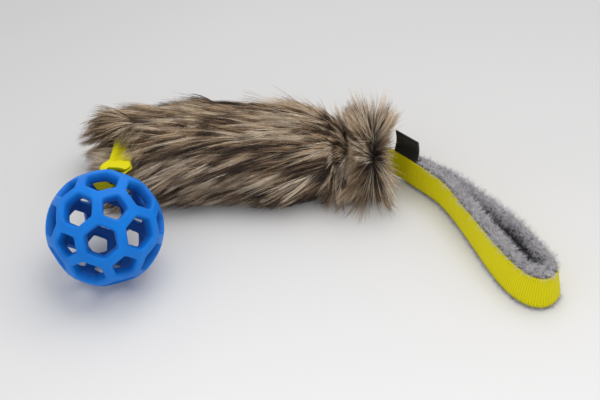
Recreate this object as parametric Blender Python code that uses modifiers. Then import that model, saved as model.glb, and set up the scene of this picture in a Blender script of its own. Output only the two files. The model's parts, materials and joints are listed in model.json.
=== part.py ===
"""Dog tug toy: a rubber lattice ball on a webbing strap, a fur sleeve, and a fleece-lined hand loop.

Metres, +Z up. The origin is on the floor under the middle of the fur sleeve, +X runs along the
sleeve from the ball end to the handle end, and the ball and the hand loop both bend toward -Y.
"""

import math

import bmesh
import bpy
from mathutils import Euler, Vector
from mathutils.geometry import interpolate_bezier

MM = 0.001

# Fur sleeve
SLEEVE_HALF_WIDTH = 47 * MM
SLEEVE_HALF_HEIGHT = 31.5 * MM
SLEEVE_PRESSED = 2 * MM
SLEEVE_SQUARENESS = 2.15
SLEEVE_RING_POINTS = 28
SLEEVE_BEND = 8 * MM
SLEEVE_BEND_LENGTH = 90 * MM
SLEEVE_MOUTH_X = -95 * MM
SLEEVE_LENGTH = 203.5 * MM
SLEEVE_END_X = SLEEVE_MOUTH_X + SLEEVE_LENGTH
SLEEVE_END_TAPER = 20 * MM
SLEEVE_MOUTH_ROUND = 12 * MM
MOUTH_FULLNESS = ((0, 0.62), (0.25, 0.78), (1, 0.92), (4, 0.99))
END_FULLNESS = ((2.2, 0.98), (1, 0.9), (0.35, 0.56), (0, 0.22))
MOUTH_SLANT = 0.43
MOUTH_SLANT_LENGTH = 70 * MM
MOUTH_CLEARANCE = 1.2 * MM
MOUTH_SLOT_ROOM = 5 * MM
MOUTH_BITE_RADIUS = 35 * MM
MOUTH_BITE_AHEAD = 9 * MM
MOUTH_BITE_DEPTH = 3 * MM
BITE_CLEARANCE = 8 * MM

# Gather at the handle end
GATHER_HEIGHT = 24 * MM
GATHER_RADIUS = 6 * MM
GATHER_CLEARANCE = 0.6 * MM
GATHER_SLEEVE_GAP = 0.5 * MM
GATHER = Vector((SLEEVE_END_X + GATHER_RADIUS + GATHER_SLEEVE_GAP, 0, GATHER_HEIGHT))

# Ball strap, from the sleeve's mouth to its crease
MOUTH_PIVOT_DEPTH = 13 * MM
MOUTH_PIVOT_SIDE = -5 * MM
MOUTH_PIVOT_HEIGHT = 38 * MM
BALL_STRAP_REACH = 26 * MM
BALL_STRAP_RISE = 3 * MM
MOUTH_PIVOT = Vector((SLEEVE_MOUTH_X + MOUTH_PIVOT_DEPTH, MOUTH_PIVOT_SIDE, MOUTH_PIVOT_HEIGHT))
CREASE = MOUTH_PIVOT + Vector((0, -BALL_STRAP_REACH, BALL_STRAP_RISE))
BALL_STRAP_ROOT_WIDTH = 15 * MM
BALL_STRAP_WIDTH = 19 * MM
BALL_STRAP_THICKNESS = 5 * MM
CREASE_CLEARANCE = 1.0 * MM
ROUND_END_BLUNT = 0.08

# Lattice ball, on the cage of a football: each corner of an icosahedron is cut off at a third of its edges
CORNER_CUT_PERCENT = 100 / 3
BALL_DIAMETER = 89 * MM
BALL_WALL = 8.5 * MM
BALL_STRUT_WIDTH = 9.4 * MM
BALL_EDGE_ROUND = 1.4 * MM
BALL_STEP_ASIDE = -1 * MM
BALL_GAP_TO_CREASE = 39.5 * MM
BALL_X = CREASE.x + BALL_STEP_ASIDE
BALL_Y = CREASE.y - BALL_GAP_TO_CREASE - BALL_DIAMETER / 2
BALL_TURN_DEG = (29, 14, 11)
HELD_STRUT_TOWARD = Vector((-0.05, 0.87, 0.49))

# Webbing
WEBBING_WIDTH = 25 * MM
WEBBING_THICKNESS = 1.7 * MM
LAYER_GAP = 0.4 * MM
WEBBING_LIFT = 2.2 * MM

# Loop round the ball's strut
LOOP_WIDTH_AT_STRUT = 10 * MM
LOOP_STRUT_CLEARANCE = 1.4 * MM
LOOP_THROAT = 6 * MM
LOOP_THROAT_ANGLE_DEG = 52
LOOP_BOW = 4 * MM
LOOP_WIDE_UNTIL = 0.2
LOOP_NARROW_FROM = 0.4

# Core strap through the sleeve
CORE_WIDTH = 25 * MM
CORE_THICKNESS = 2.4 * MM
CORE_CLEARANCE = 0.6 * MM
CORE_BORE_OVERRUN = 12 * MM
GATHERED_WIDTH = 9 * MM
GATHERED_THICKNESS = 7 * MM
GATHERED_LENGTH = 34 * MM

# Fur ruff
RUFF_HALF_WIDTH = 46 * MM
RUFF_HALF_HEIGHT = 38 * MM
RUFF_LENGTH = 13 * MM
RUFF_THICKNESS = 5.5 * MM
RUFF_NECK_RADIUS = 10 * MM
RUFF_HOLE_RADIUS = 2 * MM
RUFF_GATHER_CLEARANCE = 1.5 * MM
RUFF_RISE = 2 * MM

# Hand loop: the webbing's middle line on the floor plane from the gather, out along the near side and back
THROAT_ROUTE = ((6.8, 0), (15, 2), (25, 3), (34, -2.5))
NEAR_ROUTE = (
    (43, -13), (54, -25), (64, -38), (72, -54), (80, -74), (88, -94), (95, -112), (103, -130),
)
TIP_ROUTE = ((111, -144), (120, -153), (129, -156), (137, -153), (143, -145), (143.5, -135))
FAR_ROUTE = (
    (139, -123), (131, -107), (122, -91), (111, -74), (98, -57), (85, -40), (72, -26), (60, -15),
    (48, -7),
)
HAND_LOOP_STATIONS = 84
HAND_LOOP_LEAN_DEG = 12
HAND_LOOP_LEAN_SHARES = ((0.22, 0), (0.42, 1), (0.5, 1), (0.64, 0))
THROAT_BUNCH_LENGTH = 24 * MM
THROAT_CLEARANCE = 0.5 * MM

# Fleece lining
FLEECE_THICKNESS = 6.5 * MM
FLEECE_WIDTH = 30 * MM
FLEECE_GAP = 0.4 * MM
FLEECE_FACE_GAP = 1 * MM
FLEECE_EDGE_ROUND = 2.2 * MM
FLEECE_START = 48 * MM
FLEECE_END = 34 * MM

# Label tab on the strap's top edge
LABEL_WIDTH = 24 * MM
LABEL_HEIGHT = 21 * MM
LABEL_LEAF = 0.5 * MM
LABEL_GAP = 0.5 * MM
LABEL_START = 22 * MM
LABEL_CLEARANCE = 0.4 * MM


def clear_scene():
    for obj in list(bpy.data.objects):
        bpy.data.objects.remove(obj, do_unlink=True)


def make_material(name, color, roughness):
    material = bpy.data.materials.new(name)
    material.use_nodes = True
    shader = material.node_tree.nodes["Principled BSDF"]
    shader.inputs["Base Color"].default_value = (*color, 1.0)
    shader.inputs["Roughness"].default_value = roughness
    shader.inputs["Metallic"].default_value = 0.0
    return material


def make_collection(name):
    collection = bpy.data.collections.new(name)
    bpy.context.scene.collection.children.link(collection)
    return collection


def add_object(name, mesh, collection, material=None, smooth_angle=math.radians(35)):
    obj = bpy.data.objects.new(name, mesh)
    if material:
        mesh.materials.append(material)
        mesh.shade_smooth()
        mesh.set_sharp_from_angle(angle=smooth_angle)
    collection.objects.link(obj)
    return obj


def add_cutter(name, mesh, collection):
    cutter = add_object(name, mesh, collection)
    cutter.hide_render = True
    cutter.display_type = "WIRE"
    return cutter


def cut(obj, cutter):
    modifier = obj.modifiers.new(cutter.name, "BOOLEAN")
    modifier.operation = "DIFFERENCE"
    modifier.solver = "EXACT"
    modifier.object = cutter


def box_mesh(name, low, high):
    """A box between two corners."""
    bm = bmesh.new()
    bmesh.ops.create_cube(bm, size=1.0)
    size = high - low
    for vertex in bm.verts:
        vertex.co = low + Vector([size[i] * (vertex.co[i] + 0.5) for i in range(3)])
    mesh = bpy.data.meshes.new(name)
    bm.to_mesh(mesh)
    bm.free()
    return mesh


def loft_mesh(name, rings, closed=False):
    """A body through rings of equally many points; an open one gets a cap at each end."""
    bm = bmesh.new()
    rows = [[bm.verts.new(point) for point in ring] for ring in rings]
    pairs = list(zip(rows, rows[1:]))
    if closed:
        pairs.append((rows[-1], rows[0]))
    for first, second in pairs:
        for i, vertex in enumerate(first):
            j = (i + 1) % len(first)
            bm.faces.new((vertex, first[j], second[j], second[i]))
    if not closed:
        bm.faces.new(rows[0])
        bm.faces.new(rows[-1])
    bmesh.ops.recalc_face_normals(bm, faces=bm.faces)
    mesh = bpy.data.meshes.new(name)
    bm.to_mesh(mesh)
    bm.free()
    return mesh


def smooth_path(points, count):
    """Evenly spaced points on a Catmull-Rom curve through the given ones."""
    padded = [2 * points[0] - points[1], *points, 2 * points[-1] - points[-2]]
    fine = []
    steps = 24
    for a, b, c, d in zip(padded, padded[1:], padded[2:], padded[3:]):
        for k in range(steps):
            t = k / steps
            fine.append(
                0.5 * (2 * b + (c - a) * t + (2 * a - 5 * b + 4 * c - d) * t**2
                       + (3 * b - a - 3 * c + d) * t**3)
            )
    fine.append(points[-1].copy())
    lengths = [0.0]
    for first, second in zip(fine, fine[1:]):
        lengths.append(lengths[-1] + (second - first).length)
    path = []
    at = 0
    for k in range(count):
        wanted = lengths[-1] * k / (count - 1)
        while at < len(fine) - 2 and lengths[at + 1] < wanted:
            at += 1
        share = (wanted - lengths[at]) / (lengths[at + 1] - lengths[at])
        path.append(fine[at].lerp(fine[at + 1], share))
    return path, lengths[-1]


def tangents_of(path):
    last = len(path) - 1
    return [(path[min(i + 1, last)] - path[max(i - 1, 0)]).normalized() for i in range(len(path))]


def ease(value):
    """0 to 1 with level ends."""
    value = min(max(value, 0.0), 1.0)
    return value * value * (3 - 2 * value)


def between(table, at):
    """The value at a place in a table of (place, value) rows, eased from row to row."""
    for (x0, v0), (x1, v1) in zip(table, table[1:]):
        if at <= x1:
            return v0 + (v1 - v0) * ease((at - x0) / (x1 - x0))
    return table[-1][1]


def strap_ring(centre, across, out, width, thickness):
    """A strap's flat section."""
    w = across * (width / 2)
    t = out * (thickness / 2)
    return [centre - w - t, centre + w - t, centre + w + t, centre - w + t]


def rounded_ring(centre, across, out, width, thickness, points=12, power=2.6):
    """A padded section, between an ellipse and a rectangle."""
    ring = []
    for k in range(points):
        angle = 2 * math.pi * (k + 0.5) / points
        c, s = math.cos(angle), math.sin(angle)
        u = math.copysign(abs(c) ** (2 / power), c)
        v = math.copysign(abs(s) ** (2 / power), s)
        ring.append(centre + across * (u * width / 2) + out * (v * thickness / 2))
    return ring


def ball_turn():
    return Euler([math.radians(angle) for angle in BALL_TURN_DEG]).to_matrix()


def football_cage():
    """A truncated icosahedron of unit radius, turned as the ball lies."""
    bm = bmesh.new()
    bmesh.ops.create_icosphere(bm, subdivisions=1, radius=1.0)
    bmesh.ops.bevel(
        bm, geom=list(bm.verts), offset=CORNER_CUT_PERCENT, offset_type="PERCENT", affect="VERTICES",
        segments=1,
    )
    bmesh.ops.rotate(bm, verts=bm.verts, cent=(0, 0, 0), matrix=ball_turn())
    for vertex in bm.verts:
        vertex.co.normalize()
    return bm


def held_strut():
    """The middle and the direction of the strut that carries the loop, for a ball of unit radius."""
    bm = football_cage()
    edge = max(bm.edges, key=lambda e: (e.verts[0].co + e.verts[1].co).dot(HELD_STRUT_TOWARD))
    first, second = (vertex.co.copy() for vertex in edge.verts)
    bm.free()
    if first.x > second.x:
        first, second = second, first
    return (first + second) / 2, (second - first).normalized()


def lattice_mesh(radius):
    """The lattice's outer skin: every face of the cage inset, and its middle taken out."""
    bm = football_cage()
    bmesh.ops.subdivide_edges(bm, edges=list(bm.edges), cuts=1)
    for vertex in bm.verts:
        vertex.co *= radius
    faces = list(bm.faces)
    bmesh.ops.inset_individual(
        bm, faces=faces, thickness=BALL_STRUT_WIDTH / 2, use_even_offset=True
    )
    bmesh.ops.delete(bm, geom=faces, context="FACES")
    for vertex in bm.verts:
        vertex.co = vertex.co.normalized() * radius
    bmesh.ops.recalc_face_normals(bm, faces=bm.faces)
    mesh = bpy.data.meshes.new("ball")
    bm.to_mesh(mesh)
    bm.free()
    return mesh


def finished_points(obj):
    graph = bpy.context.evaluated_depsgraph_get()
    evaluated = obj.evaluated_get(graph)
    mesh = evaluated.to_mesh()
    points = [vertex.co.copy() for vertex in mesh.vertices]
    evaluated.to_mesh_clear()
    return points


def make_ball(collection, material):
    """The lattice ball, rounded, brought to its diameter and set down on the floor."""
    ball = add_object("ball", lattice_mesh(BALL_DIAMETER / 2), collection, material)
    wall = ball.modifiers.new("wall", "SOLIDIFY")
    wall.thickness = BALL_WALL
    wall.offset = -1.0
    rounding = ball.modifiers.new("rounding", "BEVEL")
    rounding.width = BALL_EDGE_ROUND
    rounding.segments = 2
    rounding.limit_method = "ANGLE"
    rounding.angle_limit = math.radians(40)
    bpy.context.view_layer.update()
    reach = max(point.length for point in finished_points(ball))
    for vertex in ball.data.vertices:
        vertex.co *= BALL_DIAMETER / 2 / reach
    bpy.context.view_layer.update()
    lowest = min(point.z for point in finished_points(ball))
    return ball, Vector((BALL_X, BALL_Y, -lowest))


def loop_path(centre):
    """Stations (point, place) of the ball's loop: place is 0 at the crease and 1 under the strut."""
    middle, along = held_strut()
    strut = centre + middle.normalized() * (BALL_DIAMETER - BALL_WALL) / 2
    pull = CREASE - strut
    pull = (pull - along * pull.dot(along)).normalized()
    flank = along.cross(pull).normalized()
    if flank.z < 0:
        flank = -flank
    turn = BALL_STRUT_WIDTH / 2 + LOOP_STRUT_CLEARANCE + WEBBING_THICKNESS / 2
    half = (WEBBING_THICKNESS + LAYER_GAP) / 2
    toward = (strut - CREASE).normalized()
    start = CREASE + toward * (BALL_STRAP_THICKNESS / 2 + CREASE_CLEARANCE)
    up = Vector((1, 0, 0)).cross(toward).normalized()
    up = up if up.z > 0 else -up
    throat = strut + pull * (turn + LOOP_THROAT)
    reach = (throat - start).length / 3
    legs = []
    for sign in (1, -1):
        leg = interpolate_bezier(
            start + up * (sign * half), start + up * (sign * half + LOOP_BOW) + toward * reach,
            throat + flank * (sign * half) + pull * reach, throat + flank * (sign * half), 12,
        )
        opened = math.radians(LOOP_THROAT_ANGLE_DEG)
        rim = strut + (pull * math.cos(opened) + flank * (sign * math.sin(opened))) * turn
        away = pull * math.sin(opened) - flank * (sign * math.cos(opened))
        neck = interpolate_bezier(
            throat + flank * (sign * half), throat + flank * (sign * half) - pull * (LOOP_THROAT / 2),
            rim + away * (LOOP_THROAT / 2), rim, 5,
        )
        legs.append([*leg, *neck[1:]])
    count = 20
    bend = []
    for k in range(1, count):
        angle = math.radians(LOOP_THROAT_ANGLE_DEG + (360 - 2 * LOOP_THROAT_ANGLE_DEG) * k / count)
        bend.append(strut + (pull * math.cos(angle) + flank * math.sin(angle)) * turn)
    stations = [(point, k / len(legs[0]) / 2) for k, point in enumerate(legs[0])]
    stations += [(point, 0.5 + 0.5 * (1 - abs(2 * k / count - 1))) for k, point in enumerate(bend, 1)]
    stations += [(point, k / len(legs[1]) / 2) for k, point in reversed(list(enumerate(legs[1])))]
    return stations, along


def make_ball_loop(collection, material, centre):
    """The webbing's loop round the strut: out on one side, under it, and back to the crease."""
    stations, along = loop_path(centre)
    widths = ((LOOP_WIDE_UNTIL, WEBBING_WIDTH), (LOOP_NARROW_FROM, LOOP_WIDTH_AT_STRUT))
    rings = []
    for (point, place), tangent in zip(stations, tangents_of([point for point, _ in stations])):
        across = Vector((1, 0, 0)).lerp(along, ease(place / LOOP_NARROW_FROM)).normalized()
        across = (across - tangent * across.dot(tangent)).normalized()
        rings.append(
            strap_ring(point, across, tangent.cross(across), between(widths, place), WEBBING_THICKNESS)
        )
    return add_object("ball_loop", loft_mesh("ball_loop", rings), collection, material)


def make_ball_strap(collection, material):
    """The folded strap between the mouth's pivot and the crease, with a round end to turn in at each."""
    run = CREASE - MOUTH_PIVOT
    direction = run.normalized()
    across = Vector((1, 0, 0))
    up = direction.cross(across)
    root = BALL_STRAP_ROOT_WIDTH / 2
    nose = BALL_STRAP_THICKNESS / 2
    steps = 6
    stations = []
    for k in range(steps):
        angle = math.pi / 2 * k / steps
        width = BALL_STRAP_ROOT_WIDTH * max(math.sin(angle), ROUND_END_BLUNT)
        stations.append((-root * math.cos(angle), width, BALL_STRAP_THICKNESS))
    for k in range(steps):
        share = k / steps
        width = BALL_STRAP_ROOT_WIDTH + (BALL_STRAP_WIDTH - BALL_STRAP_ROOT_WIDTH) * ease(share)
        stations.append((run.length * share, width, BALL_STRAP_THICKNESS))
    for k in range(steps + 1):
        angle = math.pi / 2 * k / steps
        thickness = BALL_STRAP_THICKNESS * max(math.cos(angle), ROUND_END_BLUNT)
        stations.append((run.length + nose * math.sin(angle), BALL_STRAP_WIDTH, thickness))
    rings = [
        strap_ring(MOUTH_PIVOT + direction * at, across, up, width, thickness)
        for at, width, thickness in stations
    ]
    return add_object("ball_strap", loft_mesh("ball_strap", rings), collection, material)


def sleeve_line(x):
    """The sleeve's middle line: it bends a little toward the ball."""
    y = -SLEEVE_BEND * (1 - ease((x - SLEEVE_MOUTH_X) / SLEEVE_BEND_LENGTH))
    lying = SLEEVE_HALF_HEIGHT - SLEEVE_PRESSED
    z = between(((SLEEVE_END_X - 2 * SLEEVE_END_TAPER, lying), (GATHER.x, GATHER.z)), x)
    return Vector((x, y, z))


def mouth_slot_end():
    return MOUTH_PIVOT.x + BALL_STRAP_WIDTH / 2 + MOUTH_CLEARANCE


def bite_mesh(floor):
    """An upright cylinder that opens the mouth above the strap's way out to the ball."""
    height = 4 * SLEEVE_HALF_HEIGHT
    bm = bmesh.new()
    bmesh.ops.create_cone(
        bm, segments=32, radius1=MOUTH_BITE_RADIUS, radius2=MOUTH_BITE_RADIUS, depth=height, cap_ends=True
    )
    reach = CREASE.x + WEBBING_WIDTH / 2 + BITE_CLEARANCE
    place = Vector((reach - MOUTH_BITE_RADIUS, CREASE.y - MOUTH_BITE_AHEAD, floor + height / 2))
    bmesh.ops.translate(bm, verts=bm.verts, vec=place)
    mesh = bpy.data.meshes.new("mouth_bite")
    bm.to_mesh(mesh)
    bm.free()
    return mesh


def make_fur_sleeve(collection, cutters, material):
    """The plump sleeve: a slanted mouth, flat where it lies, drawn in to the gather."""
    taper = SLEEVE_END_TAPER
    mouth = SLEEVE_MOUTH_ROUND
    fullness = [(SLEEVE_MOUTH_X + mouth * at, share) for at, share in MOUTH_FULLNESS]
    fullness.append(((SLEEVE_MOUTH_X + SLEEVE_END_X) / 2, 1.0))
    fullness += [(SLEEVE_END_X - taper * at, share) for at, share in END_FULLNESS]
    mouth_steps, body_steps, end_steps = 5, 9, 7
    places = [SLEEVE_MOUTH_X + 2 * mouth * (k / mouth_steps) ** 2 for k in range(mouth_steps + 1)]
    first, last = places[-1], SLEEVE_END_X - taper
    places += [first + (last - first) * k / body_steps for k in range(1, body_steps + 1)]
    places += [last + taper * k / end_steps for k in range(1, end_steps + 1)]
    rings = []
    for x in places:
        centre = sleeve_line(x)
        full = between(fullness, x)
        slant = MOUTH_SLANT * (1 - ease((x - SLEEVE_MOUTH_X) / MOUTH_SLANT_LENGTH))
        ring = rounded_ring(
            centre, Vector((-slant, 1, 0)), Vector((0, 0, 1)),
            2 * SLEEVE_HALF_WIDTH * full, 2 * SLEEVE_HALF_HEIGHT * full, points=SLEEVE_RING_POINTS,
            power=SLEEVE_SQUARENESS,
        )
        for point in ring:
            point.z = max(point.z, 0.0)
        rings.append(ring)
    sleeve = add_object("fur_sleeve", loft_mesh("fur_sleeve", rings), collection, material)
    room = BALL_STRAP_THICKNESS / 2 + MOUTH_SLOT_ROOM
    outside = Vector((SLEEVE_MOUTH_X - SLEEVE_HALF_WIDTH, -2 * SLEEVE_HALF_WIDTH, MOUTH_PIVOT.z - room))
    inside = Vector((mouth_slot_end(), MOUTH_PIVOT.y + BALL_STRAP_WIDTH, MOUTH_PIVOT.z + room))
    cut(sleeve, add_cutter("mouth_slot", box_mesh("mouth_slot", outside, inside), cutters))
    cut(sleeve, add_cutter("mouth_bite", bite_mesh(outside.z - MOUTH_BITE_DEPTH), cutters))
    bore = loft_mesh("core_bore", core_rings(CORE_CLEARANCE, CORE_BORE_OVERRUN))
    cut(sleeve, add_cutter("core_bore", bore, cutters))
    return sleeve


def core_rings(clearance, overrun):
    """The core strap's sections: flat in the sleeve, gathered narrow at the handle end."""
    start = mouth_slot_end() + CORE_CLEARANCE
    end = GATHER.x - GATHER_RADIUS - GATHER_CLEARANCE
    steps = 12
    places = [start + (end - start) * k / steps for k in range(steps + 1)]
    if overrun:
        places = [start - overrun, *places, end + overrun]
    rings = []
    for x in places:
        centre = sleeve_line(x)
        share = ease((x - (end - GATHERED_LENGTH)) / GATHERED_LENGTH)
        centre.z = MOUTH_PIVOT.z + (GATHER.z - MOUTH_PIVOT.z) * ease((x - start) / (end - start))
        width = CORE_WIDTH + (GATHERED_WIDTH - CORE_WIDTH) * share + 2 * clearance
        thickness = CORE_THICKNESS + (GATHERED_THICKNESS - CORE_THICKNESS) * share + 2 * clearance
        rings.append(strap_ring(centre, Vector((0, 1, 0)), Vector((0, 0, 1)), width, thickness))
    return rings


def make_core_strap(collection, material):
    return add_object("core_strap", loft_mesh("core_strap", core_rings(0.0, 0.0)), collection, material)


def make_gather(collection, material):
    """The whipped gather that draws the sleeve in: a bead on the bend."""
    bm = bmesh.new()
    bmesh.ops.create_uvsphere(bm, u_segments=20, v_segments=12, radius=GATHER_RADIUS)
    mesh = bpy.data.meshes.new("gather_binding")
    bm.to_mesh(mesh)
    bm.free()
    gather = add_object("gather_binding", mesh, collection, material)
    gather.location = GATHER
    return gather


def make_fur_ruff(collection, cutters, material, handle_pivot):
    """The flared end of the sleeve's fur: a funnel round the throat, flat where it lies."""
    back = GATHER_RADIUS + RUFF_GATHER_CLEARANCE
    half = RUFF_THICKNESS / 2
    inner = Vector((back + half, RUFF_NECK_RADIUS))
    outer = Vector((back + RUFF_LENGTH, RUFF_HALF_HEIGHT - half))
    out = (outer - inner).normalized()
    front = Vector((-out.y, out.x)) * half
    profile = [Vector((back, RUFF_HOLE_RADIUS)), inner + front, (inner + outer) / 2 + front]
    rim_steps = 4
    for k in range(rim_steps + 1):
        angle = math.pi * k / rim_steps
        profile.append(outer + front * math.cos(angle) + out * (half * math.sin(angle)))
    profile += [(inner + outer) / 2 - front, inner - front]
    profile.append(Vector((back + RUFF_THICKNESS, RUFF_HOLE_RADIUS)))
    spread = RUFF_HALF_WIDTH / RUFF_HALF_HEIGHT - 1
    rings = []
    turns = 36
    for k in range(turns):
        angle = 2 * math.pi * k / turns
        ring = []
        for x, radius in profile:
            share = max((radius - RUFF_NECK_RADIUS) / (RUFF_HALF_HEIGHT - RUFF_NECK_RADIUS), 0.0)
            y = radius * math.sin(angle) * (1 + spread * share)
            z = handle_pivot.z + radius * math.cos(angle) + RUFF_RISE * share
            ring.append(Vector((handle_pivot.x + x, handle_pivot.y + y, max(z, 0.0))))
        rings.append(ring)
    ruff = add_object("fur_ruff", loft_mesh("fur_ruff", rings, closed=True), collection, material)
    cut(ruff, add_cutter("throat_bore", loft_mesh("throat_bore", throat_rings(THROAT_CLEARANCE)), cutters))
    return ruff


def hand_loop_line():
    """The webbing's middle line, out and back, with the two layers of the throat side by side."""
    gather = Vector((GATHER.x, GATHER.y, 0))
    throat = [gather + Vector((x, y, 0)) * MM for x, y in THROAT_ROUTE]
    pitch = WEBBING_THICKNESS + LAYER_GAP
    back = []
    for point, tangent in zip(throat, tangents_of(throat)):
        back.append(point + Vector((-tangent.y, tangent.x, 0)) * pitch)
    outward = [gather + Vector((x, y, 0)) * MM for x, y in (*NEAR_ROUTE, *TIP_ROUTE, *FAR_ROUTE)]
    return smooth_path([*throat, *outward, *reversed(back)], HAND_LOOP_STATIONS)


def inward(tangent):
    """The side of the line that faces the hand."""
    return Vector((-tangent.y, tangent.x, 0)).normalized()


def lean_at(share):
    """How far the near side and the tip lean in over the hand."""
    return math.tan(math.radians(HAND_LOOP_LEAN_DEG)) * between(HAND_LOOP_LEAN_SHARES, share)


def opening_at(from_gather):
    """Height of the webbing and of its middle, from the bunched gather to its full width."""
    share = ease(from_gather / THROAT_BUNCH_LENGTH)
    height = GATHERED_WIDTH + (WEBBING_WIDTH - GATHERED_WIDTH) * share
    middle = GATHER.z + (WEBBING_LIFT + WEBBING_WIDTH / 2 - GATHER.z) * share
    return height, middle


def throat_rings(clearance):
    """Sections of the throat's two layers taken as one, up to where they part."""
    path, length = hand_loop_line()
    step = length / (len(path) - 1)
    pitch = WEBBING_THICKNESS + LAYER_GAP
    thickness = pitch + WEBBING_THICKNESS + 2 * clearance
    rings = []
    for k, (point, tangent) in enumerate(zip(path, tangents_of(path))):
        if k * step > LABEL_START + THROAT_BUNCH_LENGTH:
            break
        height, middle = opening_at(k * step)
        side = inward(tangent)
        centre = point + side * (pitch / 2)
        centre.z = middle
        rings.append(strap_ring(centre, Vector((0, 0, 1)), side, height + 2 * clearance, thickness))
    lead = Vector((-WEBBING_WIDTH, 0, 0))
    return [[corner + lead for corner in rings[0]], *rings]


def make_handle_webbing(collection, material):
    path, length = hand_loop_line()
    rings = []
    for k, (point, tangent) in enumerate(zip(path, tangents_of(path))):
        share = k / (len(path) - 1)
        height, middle = opening_at(length * min(share, 1 - share))
        side = inward(tangent)
        up = Vector((0, 0, 1)) + side * lean_at(share)
        rings.append(
            strap_ring(Vector((point.x, point.y, middle)), up, side, height, WEBBING_THICKNESS)
        )
    return add_object("handle_webbing", loft_mesh("handle_webbing", rings), collection, material)


def room_across(path, k):
    """The distance from a station to the other side of the loop."""
    apart = len(path) // 4
    others = [point for j, point in enumerate(path) if abs(j - k) > apart]
    return min((point - path[k]).length for point in others)


def make_fleece_lining(collection, material):
    """The lining: inside the webbing all round the hand, wider than it, and pressed thin at the throat."""
    path, length = hand_loop_line()
    rings = []
    for k, (point, tangent) in enumerate(zip(path, tangents_of(path))):
        at = length * k / (len(path) - 1)
        if at < FLEECE_START or at > length - FLEECE_END:
            continue
        free = (room_across(path, k) - WEBBING_THICKNESS - FLEECE_FACE_GAP) / 2 - FLEECE_GAP
        thick = min(FLEECE_THICKNESS, free)
        side = inward(tangent)
        slope = lean_at(k / (len(path) - 1))
        up = Vector((0, 0, 1)) + side * slope
        centre = point + side * (WEBBING_THICKNESS / 2 + FLEECE_GAP + thick / 2)
        centre += up * (FLEECE_WIDTH / 2) - side * (slope * (WEBBING_LIFT + WEBBING_WIDTH / 2))
        ring = []
        for across, high in ((-0.5, -1), (0.5, -1), (1, -1), (1, 1), (0.5, 1), (-0.5, 1), (-1, 1), (-1, -1)):
            inset = FLEECE_EDGE_ROUND if abs(across) == 1 else 0.0
            ring.append(
                centre + side * (across * thick / 2) + up * (high * (FLEECE_WIDTH / 2 - inset))
            )
        rings.append(ring)
    return add_object("fleece_lining", loft_mesh("fleece_lining", rings), collection, material)


def point_on_line(path, length, at):
    share = at / length * (len(path) - 1)
    first = int(share)
    point = path[first].lerp(path[first + 1], share - first)
    return point, (path[first + 1] - path[first]).normalized()


def label_frame():
    """The middle of the label's foot, where it turns, and the way that it runs."""
    path, length = hand_loop_line()
    first, _ = point_on_line(path, length, LABEL_START)
    last, _ = point_on_line(path, length, LABEL_START + LABEL_WIDTH)
    along = (last - first).normalized()
    middle = (first + last) / 2 + inward(along) * ((WEBBING_THICKNESS + LAYER_GAP) / 2)
    middle.z = WEBBING_LIFT + WEBBING_WIDTH + LABEL_CLEARANCE + LABEL_LEAF + LABEL_GAP / 2
    return middle, along


def make_label_tab(collection, material):
    """A folded tab: two leaves with the fold on top."""
    foot, along = label_frame()
    side = inward(along)
    reach = (LABEL_LEAF + LABEL_GAP) / 2
    low = -LABEL_LEAF - LABEL_GAP / 2
    high = LABEL_HEIGHT + low - reach - LABEL_LEAF / 2
    route = [(-reach, low), (-reach, high)]
    for degrees in (45, 90, 135):
        angle = math.radians(degrees)
        route.append((-reach * math.cos(angle), high + reach * math.sin(angle)))
    route += [(reach, high), (reach, low)]
    points = [side * u + Vector((0, 0, v)) for u, v in route]
    rings = [
        strap_ring(foot + point, along, tangent.cross(along), LABEL_WIDTH, LABEL_LEAF)
        for point, tangent in zip(points, tangents_of(points))
    ]
    return add_object("label_tab", loft_mesh("label_tab", rings), collection, material)


def add_pivot(name, place, collection):
    pivot = bpy.data.objects.new(name, None)
    pivot.location = place
    pivot.empty_display_size = 10 * MM
    collection.objects.link(pivot)
    return pivot


def carry(child, parent):
    """Parents a piece without moving it."""
    bpy.context.view_layer.update()
    child.parent = parent
    child.matrix_parent_inverse = parent.matrix_world.inverted()


def main():
    clear_scene()
    toy = make_collection("dog_tug_toy")
    cutters = make_collection("cutters")
    rubber = make_material("blue_rubber", (0.0, 0.19, 0.75), 0.45)
    webbing = make_material("yellow_webbing", (0.70, 0.72, 0.02), 0.6)
    fur = make_material("brown_fur", (0.20, 0.15, 0.11), 0.85)
    fleece = make_material("grey_fleece", (0.22, 0.21, 0.22), 0.9)
    thread = make_material("dark_thread", (0.05, 0.04, 0.04), 0.7)
    label = make_material("black_label", (0.01, 0.01, 0.01), 0.5)

    ball, ball_centre = make_ball(toy, rubber)
    ball.location = ball_centre
    ball_loop = make_ball_loop(toy, webbing, ball_centre)
    ball_strap = make_ball_strap(toy, webbing)
    make_core_strap(toy, webbing)
    make_fur_sleeve(toy, cutters, fur)
    gather = make_gather(toy, thread)
    ruff = make_fur_ruff(toy, cutters, fur, GATHER)
    handle = make_handle_webbing(toy, webbing)
    lining = make_fleece_lining(toy, fleece)
    tab = make_label_tab(toy, label)

    strut_middle, _ = held_strut()
    strut = ball_centre + strut_middle.normalized() * (BALL_DIAMETER - BALL_WALL) / 2
    mouth_pivot = add_pivot("mouth_pivot", MOUTH_PIVOT, toy)
    crease_pivot = add_pivot("crease_pivot", CREASE, toy)
    strut_pivot = add_pivot("strut_pivot", strut, toy)
    gather_pivot = add_pivot("gather_pivot", GATHER, toy)
    label_pivot = add_pivot("label_pivot", label_frame()[0], toy)
    for child, parent in (
        (ball_strap, mouth_pivot), (crease_pivot, mouth_pivot), (ball_loop, crease_pivot),
        (strut_pivot, crease_pivot), (ball, strut_pivot), (gather, gather_pivot), (ruff, gather_pivot),
        (handle, gather_pivot), (lining, gather_pivot), (label_pivot, gather_pivot), (tab, label_pivot),
    ):
        carry(child, parent)


main()
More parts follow.
